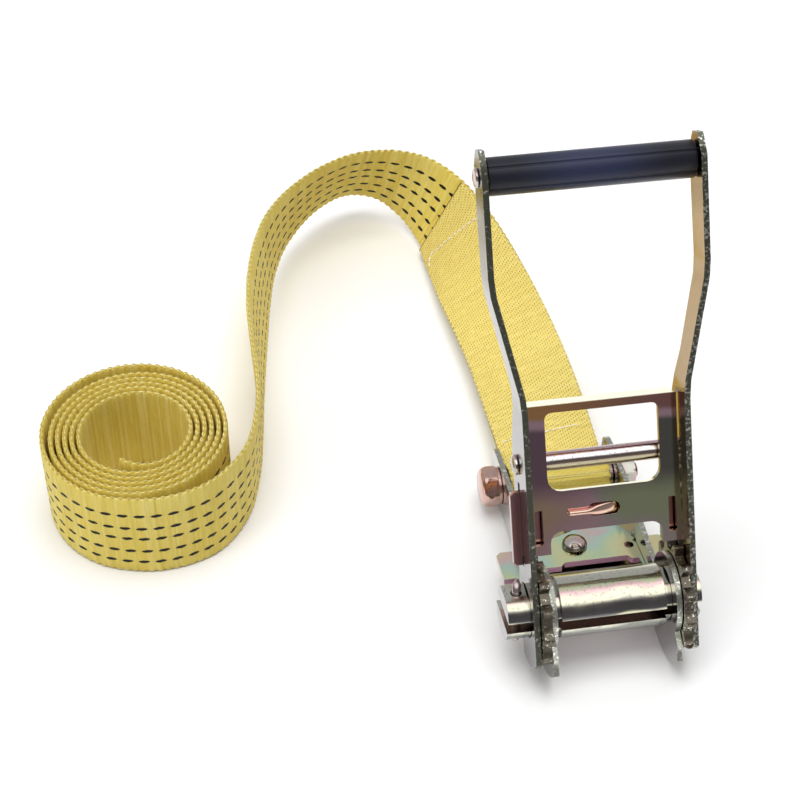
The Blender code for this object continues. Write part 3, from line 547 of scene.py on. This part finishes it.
def strap_line():
    """Centres and width directions from the tail, round the sleeve, to the roll's inner end."""
    centres, across, normal = single_line()
    sewn = lengths(centres) <= SEWN_LENGTH
    tail = (centres[sewn] + normal[sewn] * LAYER_GAP)[::-1]
    tail_across = across[sewn][::-1]

    low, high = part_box("anchor_sleeve")
    bolt = (low + high) / 2 / MM - FOOT
    radius = SLEEVE_R + SLEEVE_GAP + STRAP_T / 2
    turn = [(bolt.y + radius * math.cos(math.radians(a)), bolt.z + radius * math.sin(math.radians(a)))
            for a in range(62, 299, 12)]
    pinch = 9.3
    drop = [(bolt.y + pinch, bolt.z + 3.9), (bolt.y + pinch + 2.4, bolt.z + 2.1)]
    rise = [(bolt.y + pinch + 2.4, bolt.z - 2.1), (bolt.y + pinch, bolt.z - 3.9)]
    loop = np.array([[0, y, z] for y, z in drop[::-1] + turn + rise])
    loop_across = np.tile([1.0, 0, 0], (len(loop), 1))

    turned = np.radians(np.arange(0, 360 * ROLL_TURNS, 3.0)[1:] + 0.6)     # a point at every 3 degrees
    angle = math.radians(ROLL_START) - turned
    radius = ROLL_R - ROLL_PITCH * turned / (2 * math.pi)
    degrees = np.degrees(turned)
    radius += ROLL_SLACK * np.sin(np.pi * np.clip((degrees - 10) / 220, 0, 1)) ** 2
    radius -= ROLL_CURL[1] * np.clip(1 - (360 * ROLL_TURNS - degrees) / ROLL_CURL[0], 0, 1) ** 2
    wraps = np.stack([ROLL_X + radius * np.cos(angle), ROLL_Y + radius * np.sin(angle),
                      np.full(len(angle), STRAP_W / 2 + 0.1)], axis=1)
    wraps_across = np.tile([0, 0, 1.0], (len(wraps), 1))
    centres = np.vstack([tail, loop, centres, wraps])
    across = np.vstack([tail_across, loop_across, across, wraps_across])
    return centres, across


def even_stations(centres, across, spacing):
    along = lengths(centres)
    count = int(along[-1] / spacing)
    wanted = np.linspace(0, along[-1], count + 1)
    centres = np.stack([np.interp(wanted, along, centres[:, k]) for k in range(3)], axis=1)
    across = np.stack([np.interp(wanted, along, across[:, k]) for k in range(3)], axis=1)
    kernel = np.hanning(7)[1:-1]
    kernel /= kernel.sum()
    for k in range(3):
        padded = np.pad(centres[:, k], 2, mode="reflect", reflect_type="odd")
        centres[:, k] = np.convolve(padded, kernel, mode="valid")
    return wanted, centres, across


def weft_ribs(along, seed, pitch, depth):
    """Rounded ribs across the strap, of uneven width and height."""
    random = np.random.default_rng(seed)
    edges, place = [0.0], 0.0
    while place < along[-1] + pitch:
        place += pitch * random.uniform(0.65, 1.35)
        edges.append(place)
    edges = np.array(edges)
    heights = random.uniform(0.25, 1.0, len(edges))
    index = np.searchsorted(edges, along, side="right") - 1
    share = (along - edges[index]) / (edges[index + 1] - edges[index])
    return depth * heights[index] * np.sin(np.pi * share) ** 0.8


def build_webbing(cloth):
    centres, across = strap_line()
    along, centres, across = even_stations(centres, across, STATION)
    across, normal = with_normals(centres, across)

    half = STRAP_W / 2
    columns = np.array([-1, -0.985, -0.95, -0.86, -0.66, -0.33, 0, 0.33, 0.66, 0.86, 0.95, 0.985, 1])
    thin = np.array([0.30, 0.62, 0.88, 1, 1, 1, 1, 1, 1, 1, 0.88, 0.62, 0.30])
    marked = weft_ribs(along, seed=3, pitch=2.6, depth=0.26)
    plain = weft_ribs(along, seed=8, pitch=3.8, depth=0.42)
    wave = np.sin(2 * math.pi * along / SCALLOP)
    late = np.sin(2 * math.pi * along / SCALLOP + 1.9)
    wander = 0.25 * np.sin(along / 41.0) + 0.15 * np.sin(along / 17.3)
    rows, marks = [], []
    for face, ribs, order in ((1, marked, slice(None)), (0, plain, slice(None, None, -1))):
        for share, full in list(zip(columns, thin))[order]:
            edge = abs(share) ** 6
            swell = wave if face else late
            reach = share * (half - 0.28) + share * edge * 0.20 * swell + wander * 0.2
            sign = 1 if face else -1
            lift = sign * full * (STRAP_T / 2 - 0.28 + ribs * (1 - 0.5 * edge)) + sign * 0.26 * swell * edge
            rows.append(centres + across * np.reshape(reach, (-1, 1)) + normal * np.reshape(lift, (-1, 1)))
            marks.append(np.stack([np.full(len(along), half + share * half), along,
                                   np.full(len(along), float(face))], axis=1))
    ring_size = len(rows)
    points = np.stack(rows, axis=1).reshape(-1, 3)
    marks = np.stack(marks, axis=1).reshape(-1, 3)
    count = len(along)
    faces = []
    for i in range(count - 1):
        for k in range(ring_size):
            j = (k + 1) % ring_size
            faces.append((i * ring_size + k, i * ring_size + j, (i + 1) * ring_size + j, (i + 1) * ring_size + k))
    width = ring_size // 2
    for start, flip in ((0, False), ((count - 1) * ring_size, True)):
        for k in range(width - 1):
            quad = (start + k, start + k + 1, start + ring_size - 2 - k, start + ring_size - 1 - k)
            faces.append(quad[::-1] if not flip else quad)
    mesh = bpy.data.meshes.new("webbing")
    matrix = np.array(ON_FLOOR)
    points = points @ matrix[:3, :3].T + matrix[:3, 3]
    mesh.from_pydata(points.tolist(), [], faces)
    weave = mesh.attributes.new("weave", "FLOAT_VECTOR", "POINT")
    weave.data.foreach_set("vector", marks.astype(np.float32).ravel())
    mesh.shade_smooth()
    made = bpy.data.objects.new("webbing", mesh)
    bpy.context.collection.objects.link(made)
    face_outwards(mesh)
    mesh.materials.append(cloth)
    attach(made, "frame")
    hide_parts("strap_eye", "strap_sewn", "strap_free", "strap_roll")


# ---- detailed pieces -------------------------------------------------------
def piece(name, rings, placing, finish, body, slot, *replaced, loop=False, angle=40):
    """A closed surface through rings of points; loop joins the last ring to the first.  With no body it is left
    unattached."""
    size = len(rings[0])
    points = [placing @ Vector(point) for ring in rings for point in ring]
    faces = []
    count = len(rings)
    for i in range(count if loop else count - 1):
        near, far = i * size, (i + 1) % count * size
        for k in range(size):
            j = (k + 1) % size
            faces.append((near + k, near + j, far + j, far + k))
    if not loop:
        faces.append(tuple(range(size)))
        faces.append(tuple(reversed(range((count - 1) * size, count * size))))
    mesh = bpy.data.meshes.new(name)
    mesh.from_pydata(points, [], faces)
    face_outwards(mesh)
    mesh.shade_smooth()
    mesh.set_sharp_from_angle(angle=math.radians(angle))
    mesh.materials.append(finish)
    made = bpy.data.objects.new(name, mesh)
    bpy.context.collection.objects.link(made)
    if body:
        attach(made, body)
    if replaced:
        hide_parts(*replaced)
    return made


def circle(x, radius, centre=(0.0, 0.0), steps=48, reach=None):
    """Points round an axis along X.  reach gives the radius at an angle in place of the plain one."""
    ring = []
    for k in range(steps):
        angle = 2 * math.pi * k / steps
        r = reach(angle, radius) if reach else radius
        ring.append((x, centre[0] + r * math.cos(angle), centre[1] + r * math.sin(angle)))
    return ring


def hexagon(flats, turn=0.0):
    """The radius of a hexagon of that width over flats, held within a circle."""
    def reach(angle, limit):
        off = (angle - turn + math.pi / 6) % (math.pi / 3) - math.pi / 6
        return min(limit, flats / 2 / math.cos(off))
    return reach


BOLT = Vector((0.0, 94.0, -2.0))          # the anchor bolt's middle, on the frame
BOLT_R = 4.0
THREAD_PITCH, THREAD_DEPTH = 1.5, 0.55
FACE = 29.6                               # just off the side plates


def build_bolt(copper, steel):
    centre = (BOLT.y, BOLT.z)
    flats = hexagon(17.8, math.radians(30))
    rings = [circle(-FACE - 9.5, 0.4, centre), circle(-FACE - 9.5, 7.4, centre), circle(-FACE - 9.1, 8.2, centre)]
    for x, limit in ((-8.5, 8.95), (-7.6, 9.5), (-6.6, 9.9), (-5.4, 10.0), (-2.2, 10.0), (-1.4, 9.6)):
        rings.append(circle(-FACE + x, limit, centre, reach=flats))
    rings += [circle(-FACE - 1.3, 9.3, centre), circle(-FACE, 9.3, centre), circle(-FACE, BOLT_R, centre),
              circle(FACE, BOLT_R, centre)]
    x = FACE + 0.1
    while x < FACE + 9.6:
        def groove(angle, radius, x=x):
            phase = (x / THREAD_PITCH - angle / (2 * math.pi)) % 1
            return radius - THREAD_DEPTH * (1 - abs(2 * phase - 1))
        rings.append(circle(x, BOLT_R, centre, reach=groove))
        x += 0.19
    rings += [circle(FACE + 9.9, 3.1, centre), circle(FACE + 10.2, 2.6, centre), circle(FACE + 10.2, 0.4, centre)]
    piece("anchor_bolt_detailed", rings, ON_FRAME, copper, "frame", "copper_zinc", "anchor_bolt", angle=28)

    nut = hexagon(13.0)
    outer = [circle(x, r, centre, reach=nut) for x, r in ((FACE + 1.75, 6.7), (FACE + 2.3, 7.5), (FACE + 7.5, 7.5),
                                                         (FACE + 8.1, 6.6))]
    inner = [circle(FACE + 8.1, 4.9, centre), circle(FACE + 7.4, 4.3, centre), circle(FACE + 2.4, 4.3, centre),
             circle(FACE + 1.75, 4.9, centre)]
    piece("anchor_nut_detailed", outer + inner, ON_FRAME, steel, "frame", "zinc_small", "anchor_nut", loop=True,
          angle=28)


GRIP_Y, GRIP_Z, GRIP_R = -6.0, 194.5, 8.2     # the grip's middle and radius, on the handle
GRIP_HALF = 44.9
GRIP_BORE_R = 3.35
GRIP_STEPS = 160               # points round the grip


def build_grip(plastic):
    """A moulded tube with four fine grooves along it, a flatter front and back, and softened ends."""
    grooves = [math.radians(a) for a in (147, 217, 33, -37)]

    def section(angle, radius):
        r = radius - 0.35 * max(0.0, abs(math.cos(angle)) - 0.82) / 0.18
        for groove in grooves:
            off = abs((angle - groove + math.pi) % (2 * math.pi) - math.pi) * radius
            r -= 0.55 * max(0.0, 1 - (off / 0.62) ** 2)
        return r

    rings = []
    for x, inset in ((-GRIP_HALF, 0.9), (-GRIP_HALF + 0.25, 0.35), (-GRIP_HALF + 0.8, 0.05),
                     (GRIP_HALF - 0.8, 0.05), (GRIP_HALF - 0.25, 0.35), (GRIP_HALF, 0.9)):
        rings.append(circle(x, GRIP_R - inset, (GRIP_Y, GRIP_Z), GRIP_STEPS, section))
    for x in (GRIP_HALF, -GRIP_HALF):
        rings.append(circle(x, GRIP_BORE_R, (GRIP_Y, GRIP_Z), GRIP_STEPS))
    piece("grip_detailed", rings, ON_HANDLE, plastic, "handle", "grip_plastic", "grip", loop=True, angle=50)


def swept(path, radii, steps=14, side=None, wider=1.0):
    """Rings round a path, wider times as wide along side as they are thick."""
    points = [Vector(p) for p in path]
    rings = []
    for i, point in enumerate(points):
        ahead = (points[min(i + 1, len(points) - 1)] - points[max(i - 1, 0)]).normalized()
        side = side or ahead.orthogonal().normalized()
        side = (side - ahead * side.dot(ahead)).normalized()
        other = ahead.cross(side)
        ring = []
        for k in range(steps):
            a = 2 * math.pi * k / steps
            ring.append(tuple(point + side * radii[i] * wider * math.cos(a) + other * radii[i] * math.sin(a)))
        rings.append(ring)
    return rings


def smooth_path(points, steps):
    return [tuple(row) for row in catmull_rom(np.array(points, float), steps)]


PIN_X, PIN_TURN = -41.8, -20.0               # the cotter pin, on the drum
DRUM_TURN = -10.0                            # the slot's open side stands a little up at rest


def build_cotter(steel):
    """A split pin of half-round wire: eye below the axle, both legs bent over to the rear on top."""
    eye = [(2.3 * math.cos(math.radians(a)), -13.0 + 2.3 * math.sin(math.radians(a))) for a in range(60, -241, -25)]
    route = [(5.6, 13.4), (4.2, 13.2), (2.6, 12.4), (1.3, 10.9), (1.02, 9.0), (1.02, -4.0), (1.02, -10.2)] + eye
    route += [(-1.02, -10.2), (-1.02, -4.0), (-1.02, 9.6), (-0.7, 12.0), (0.8, 14.0), (2.6, 14.9), (4.0, 15.2)]
    path = smooth_path([(0.0, y, z) for y, z in route], 4)      # from tip to tip
    last = len(path) - 1
    radii = [0.95 * min(1.0, 0.30 + min(i, last - i) / 9) for i in range(last + 1)]
    turn = (Matrix.Rotation(math.radians(DRUM_TURN), 4, "X") @ Matrix.Translation((PIN_X, 0, 0))
            @ Matrix.Rotation(math.radians(PIN_TURN), 4, "Z"))
    wire = swept(path, radii, steps=18, side=X_AXIS, wider=1.9)
    piece("cotter_pin_detailed", wire, ON_DRUM @ turn, steel, "drum", "spring_steel", "cotter_pin")


# name, axes, moving end, fixed end, radius, wire, turns, moving body, fixed body
SPRINGS = (("drive_spring_left", ON_HANDLE, (-31.7, 0.1, 48.3), (-31.7, 0.1, 62.3), 1.6, 0.35, 8, "drive", "handle"),
           ("drive_spring_right", ON_HANDLE, (31.7, 0.1, 48.3), (31.7, 0.1, 62.3), 1.6, 0.35, 8, "drive", "handle"),
           ("lock_spring", ON_FRAME, (0, 61.8, -9.0), (0, 79.7, -9.0), 2.4, 0.4, 9, "lock", "frame"))
CLOSED = 0.9                   # turns at each end that lie wire on wire
TURN_STEPS = 20                # points in one turn


def build_springs(steel):
    """Pressed springs with closed ends, baked in place at rest."""
    for name, placing, moving, fixed, radius, wire, turns, one, two in SPRINGS:
        start, end = Vector(moving), Vector(fixed)
        axis = (end - start).normalized()
        side = axis.orthogonal().normalized()
        other = axis.cross(side)
        run, dead = (end - start).length - 2 * wire, 2 * wire * CLOSED
        pitch = (run - 2 * dead) / (turns - 2 * CLOSED)
        path = []
        for i in range(turns * TURN_STEPS + 1):
            turn = i / TURN_STEPS
            if turn < CLOSED:
                height = 2 * wire * turn
            elif turn > turns - CLOSED:
                height = run - 2 * wire * (turns - turn)
            else:
                height = dead + (turn - CLOSED) * pitch
            angle = 2 * math.pi * turn
            out = side * math.cos(angle) + other * math.sin(angle)
            path.append(start + axis * (wire + height) + out * radius)
        rings = swept(path, [wire] * len(path), steps=8)
        made = piece(name + "_detailed", rings, placing, steel, None, "spring_steel", name)
        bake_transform(made)


def build_hook(copper):
    """A copper-coloured wire in front of the web whose end is beaten flat and passes through the slot."""
    middle = 44.9
    path = [(-17.0, -7.45, middle), (-16.7, -7.45, middle), (-16.0, -7.45, middle), (-9.0, -7.45, middle),
            (-7.6, -7.4, middle), (-6.0, -7.2, middle), (-4.0, -6.9, middle + 0.1), (-1.0, -6.4, middle + 0.2),
            (2.0, -5.6, middle + 0.3), (4.4, -4.6, middle + 0.3), (5.6, -3.6, middle + 0.3),
            (6.0, -2.8, middle + 0.3)]
    radii = [0.5, 1.0, 1.15] + [1.15] * 9
    shape = [(1, 1)] * 4 + [(0.95, 1.15), (0.8, 1.5), (0.6, 1.85), (0.5, 2.0), (0.5, 2.0), (0.5, 1.9), (0.5, 1.7),
                            (0.4, 1.3)]
    rings = []
    for (x, y, z), radius, (thick, high) in zip(path, radii, shape):
        rings.append([(x, y + radius * thick * math.cos(2 * math.pi * k / 20),
                       z + radius * high * math.sin(2 * math.pi * k / 20)) for k in range(20)])
    piece("spring_hook_detailed", rings, ON_HANDLE, copper, "handle", "copper_zinc", "spring_hook")


STITCH, STITCH_GAP, YARN_R = 3.0, 0.7, 0.42

# Stitch lines on the sewn part: (distance from the bolt's pinch, place across the strap).
STITCHED = [
    [(168.0, -22.0), (172.5, -20.0), (174.6, -17.0), (173.4, -11.0), (172.0, -4.0), (170.6, 4.0), (168.9, 12.0),
     (167.4, 20.0)],
    [(13.6, -22.0), (14.6, -18.0), (15.4, -9.0), (16.4, 0.0), (17.2, 8.0), (17.8, 16.0), (18.0, 21.0)],
]


def build_stitching(thread):
    centres, across, normal = single_line()
    along = lengths(centres)
    thin = [YARN_R * (0.4 + 0.6 * math.sin(math.pi * k / 8)) for k in range(9)]     # finer at both ends
    for number, line in enumerate(STITCHED):
        path = np.array(smooth_path([(s, w, 0.0) for s, w in line], 24))
        run = lengths(path)
        rings, place = [], 0.0
        while place + STITCH < run[-1]:
            spine = []
            for share in np.linspace(0, 1, 9):
                at = place + STITCH * share
                s, w = np.interp(at, run, path[:, 0]), np.interp(at, run, path[:, 1])
                centre, wide, up = (np.array([np.interp(s, along, rows[:, k]) for k in range(3)])
                                    for rows in (centres, across, normal))
                lift = LAYER_GAP + STRAP_T / 2 - 0.12 + 0.30 * math.sin(math.pi * share)
                spine.append(tuple(centre + wide * w + up * lift))
            rings.append(swept(spine, thin, steps=8))
            place += STITCH + STITCH_GAP
        stitches(f"stitching_{number + 1}", rings, thread)


def stitches(name, group, thread):
    """Many short threads as one object."""
    points, faces = [], []
    for rings in group:
        base, size = len(points), len(rings[0])
        points += [ON_FLOOR @ Vector(point) for ring in rings for point in ring]
        for i in range(len(rings) - 1):
            for k in range(size):
                j = (k + 1) % size
                near, far = base + i * size, base + (i + 1) * size
                faces.append((near + k, near + j, far + j, far + k))
        faces.append(tuple(base + k for k in range(size)))
        faces.append(tuple(base + (len(rings) - 1) * size + k for k in reversed(range(size))))
    mesh = bpy.data.meshes.new(name)
    mesh.from_pydata(points, [], faces)
    face_outwards(mesh)
    mesh.shade_smooth()
    mesh.materials.append(thread)
    made = bpy.data.objects.new(name, mesh)
    bpy.context.collection.objects.link(made)
    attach(made, "frame")


# ---- CAD nodes that stay ---------------------------------------------------
def dress(node, *finishes, bevel=0.35, angle=35, pick=None):
    """Gives a CAD node its material, softened edges and smooth round faces."""
    item = frame["nodes"][node]
    mesh = item.data
    mesh.materials.clear()
    for finish in finishes:
        mesh.materials.append(finish)
    for face in mesh.polygons:
        face.use_smooth = True
        face.material_index = pick(face) if pick else 0
    weld = item.modifiers.new("weld", "WELD")
    weld.merge_threshold = 0.00001
    flat = item.modifiers.new("whole_faces", "DECIMATE")
    flat.decimate_type = "DISSOLVE"
    flat.angle_limit = math.radians(0.3)
    flat.delimit = {"MATERIAL"}
    if bevel:
        soft = item.modifiers.new("soft_edges", "BEVEL")
        soft.width = bevel * MM
        soft.segments = 2
        soft.limit_method = "ANGLE"
        soft.angle_limit = math.radians(angle)
        soft.use_clamp_overlap = True
    weighted = item.modifiers.new("shading", "WEIGHTED_NORMAL")
    weighted.keep_sharp = False
    weighted.weight = 100


def sheared(from_x):
    """Picks 1 for the sheared edges of the plates that stand further out than from_x, 0 for faces."""
    def pick(face):
        out = abs(face.center.x / MM - DRUM.x)
        return 1 if abs(face.normal.x) < 0.3 and out > from_x else 0
    return pick


def dress_metal():
    arms = handle_zinc("zinc_handle")
    body = zinc("zinc_frame", [GREY, GOLD, OLIVE, GREY, PINK], film_scale=20.0, roughness=0.15, offset=1.7)
    small = zinc("zinc_small", [(0.70, 0.50, 0.50), GREY, (0.66, 0.50, 0.48)], film_scale=60.0, roughness=0.12,
                 offset=2.9, side=None)
    copper = zinc("copper_zinc", [COPPER, (0.92, 0.66, 0.52), COPPER, PINK], film_scale=70.0, roughness=0.10,
                  offset=4.1, side=None)
    shafts = plating_with_painted_reflection("zinc_drum", SHAFT_PAINTED_REFLECTION)
    # The wheels' flanks are a darker grey: painted shade.
    wheels = zinc("zinc_wheel", [OLIVE, PINK, GREY, GOLD], film_scale=50.0, roughness=0.20, offset=6.1,
                  side=(0.32, 0.31, 0.26))
    lock = zinc("zinc_lock", LOCK_TINTS, film_scale=34.0, roughness=0.16, offset=7.7)
    # The lock plate's front faces are picked by the way they look and given a bright mauve: film tint and painted
    # highlight of the rounded edge.
    lock_front = zinc("zinc_lock_front", [(0.86, 0.48, 0.66), (0.74, 0.42, 0.56)], film_scale=30.0, roughness=0.2,
                      offset=1.1)
    rods = plating_with_painted_reflection("zinc_rod", ROD_PAINTED_REFLECTION, roughness=0.12)
    pawl = zinc("zinc_pawl", [PURPLE, MAROON, (0.52, 0.30, 0.30)], film_scale=18.0, roughness=0.16,
                offset=8.2)
    steel = wire_steel("spring_steel")
    frame_edge = cut_edge("frame_edge", (0.42, 0.43, 0.38), share=(0.54, 0.64), relief=0.00016)
    dress("base_frame", body, frame_edge, pick=sheared(25.5))
    # The arms' sheared edges are near black: rough steel and painted dark reflection, with more painted glints on the
    # right arm.
    arm_edge = cut_edge("arm_edge", (0.16, 0.17, 0.13), painted_glints_right=0.07)
    dress("handle_frame", arms, arm_edge, pick=sheared(34.1))
    dress("lock_plate", lock, lock_front, bevel=0.4, pick=lambda face: 1 if face.normal.y < -0.3 else 0)
    dress("finger_rod", rods, bevel=0.25)
    dress("drive_pawl", pawl, bevel=0.4)
    for node in ("half_shaft_upper", "half_shaft_lower"):
        dress(node, shafts, bevel=0.5)
    # The teeth are darker still: painted shade, with painted glints.
    tooth = cut_edge("wheel_edge", (0.17, 0.15, 0.115), relief=0.00014)
    for node in ("ratchet_wheel_left", "ratchet_wheel_right"):
        dress(node, wheels, tooth, bevel=0.3, pick=lambda face: 1 if abs(face.normal.x) < 0.3 else 0)
    for node in ("anchor_washer", "anchor_sleeve", "lock_guide_pin", "grip_rod"):
        dress(node, small, bevel=0.25)
    build_springs(steel)
    # The bolt's copy of the copper plating is darker: painted shade on the bolt head.
    bolt_copper = zinc("copper_bolt", [(0.64, 0.42, 0.37), (0.74, 0.50, 0.44), (0.58, 0.36, 0.32)], film_scale=70.0,
                       roughness=0.10, offset=4.1, side=None)
    build_bolt(bolt_copper, small)
    build_grip(moulded_plastic("grip_plastic"))
    build_cotter(wire_steel("cotter_steel", (0.42, 0.30, 0.32), (0.80, 0.72, 0.70)))
    build_hook(copper)


# ---- floor, light and camera -----------------------------------------------
AIM = Vector((33.75, 20.2, 0.0))            # the point on the floor at the picture's middle
AZIMUTH, ELEVATION, ROLL = 9.93, 43.6, 0.83
DISTANCE = 949.1                            # from the aim to the camera
LENS, SENSOR = 81.55, 36.0


def build_stage():
    made, tree, shader = new_material("pale_floor")
    where = tree.node("TexCoord").outputs["Object"]
    drift = tree.noise(where, 3.0, 2.0)
    tree.feed(shader["Base Color"], tree.mix(drift, (0.90, 0.90, 0.90), (0.93, 0.93, 0.93)))
    shader["Roughness"].default_value = 0.9
    bm = bmesh.new()
    bmesh.ops.create_circle(bm, cap_ends=True, segments=64, radius=8.0)      # metres
    mesh = bpy.data.meshes.new("floor")
    bm.to_mesh(mesh)
    bm.free()
    floor = bpy.data.objects.new("floor", mesh)
    bpy.context.collection.objects.link(floor)
    mesh.materials.append(made)


def build_world():
    """A pale studio with a darker wall in front, which gives the metal its contrast."""
    world = bpy.data.worlds.new("studio")
    bpy.context.scene.world = world
    world.use_nodes = True
    tree = Tree(world.node_tree.nodes, world.node_tree.links)
    background = world.node_tree.nodes["Background"]
    direction = tree.split(tree.node("TexCoord").outputs["Generated"])
    y, z = direction[1], direction[2]
    front = tree.ramp(z, [(0.0, (0.34, 0.33, 0.34)), (0.10, (0.27, 0.26, 0.26)), (0.62, (0.20, 0.19, 0.19)),
                          (0.76, (0.95, 0.95, 0.94)), (1.0, (1.0, 1.0, 1.0))])
    rear = tree.ramp(z, [(0.0, (0.75, 0.75, 0.75)), (0.40, (0.62, 0.62, 0.62)), (0.72, (0.60, 0.60, 0.60)),
                         (1.0, (1.0, 1.0, 1.0))])
    colour = tree.mix(tree.grey(y, -0.20, 0.40), front, rear)
    bright = tree.mix(tree.grey(z, 0.70, 0.80), (0, 0, 0), (0.55, 0.55, 0.53))
    seen = tree.node("LightPath").outputs["Is Glossy Ray"]
    boost = tree.math("MULTIPLY", seen, tree.grey(y, 0.25, 0.0))
    colour = tree.mix(boost, colour, bright, "ADD")
    direct = tree.node("LightPath").outputs["Is Camera Ray"]
    tree.feed(background.inputs["Color"], tree.mix(direct, colour, (0.97, 0.97, 0.97)))
    background.inputs["Strength"].default_value = 0.85


def soft_light(name, place, size, power):
    """A softbox aimed at the origin, which lights the part but isn't itself mirrored in it."""
    lamp = bpy.data.lights.new(name, "AREA")
    lamp.shape = "RECTANGLE"
    lamp.size, lamp.size_y = size
    lamp.energy = power
    made = bpy.data.objects.new(name, lamp)
    made.location = place
    made.rotation_euler = (Vector((0, 0, 0)) - Vector(place)).to_track_quat("-Z", "Y").to_euler()
    made.visible_glossy = False
    bpy.context.collection.objects.link(made)


def build_light():
    soft_light("overhead_softbox", (0.0, -0.15, 1.5), (1.3, 0.9), 14.5)
    soft_light("left_softbox", (-1.3, -0.6, 0.9), (0.7, 0.9), 5.5)
    soft_light("rear_softbox", (0.4, 1.3, 1.1), (1.2, 0.6), 5)


def build_camera():
    azimuth, elevation, roll = (math.radians(a) for a in (AZIMUTH, ELEVATION, ROLL))
    right = Vector((math.cos(azimuth), -math.sin(azimuth), 0))
    back = Vector((-math.sin(azimuth) * math.cos(elevation), -math.cos(azimuth) * math.cos(elevation),
                   math.sin(elevation)))
    up = back.cross(right)
    x = right * math.cos(roll) + up * math.sin(roll)
    y = back.cross(x)
    data = bpy.data.cameras.new("camera")
    data.lens, data.sensor_width = LENS, SENSOR
    data.clip_start, data.clip_end = 0.05, 50.0
    made = bpy.data.objects.new("camera", data)
    turn = Matrix((x, y, back)).transposed().to_4x4()
    made.matrix_world = Matrix.Translation((AIM + back * DISTANCE) * MM) @ turn
    bpy.context.collection.objects.link(made)
    bpy.context.scene.camera = made
    bpy.context.scene.view_settings.view_transform = "Standard"


build_camera()
build_world()
build_light()
build_stage()
dress_metal()
build_webbing(woven("webbing"))
build_stitching(white_thread("white_thread"))
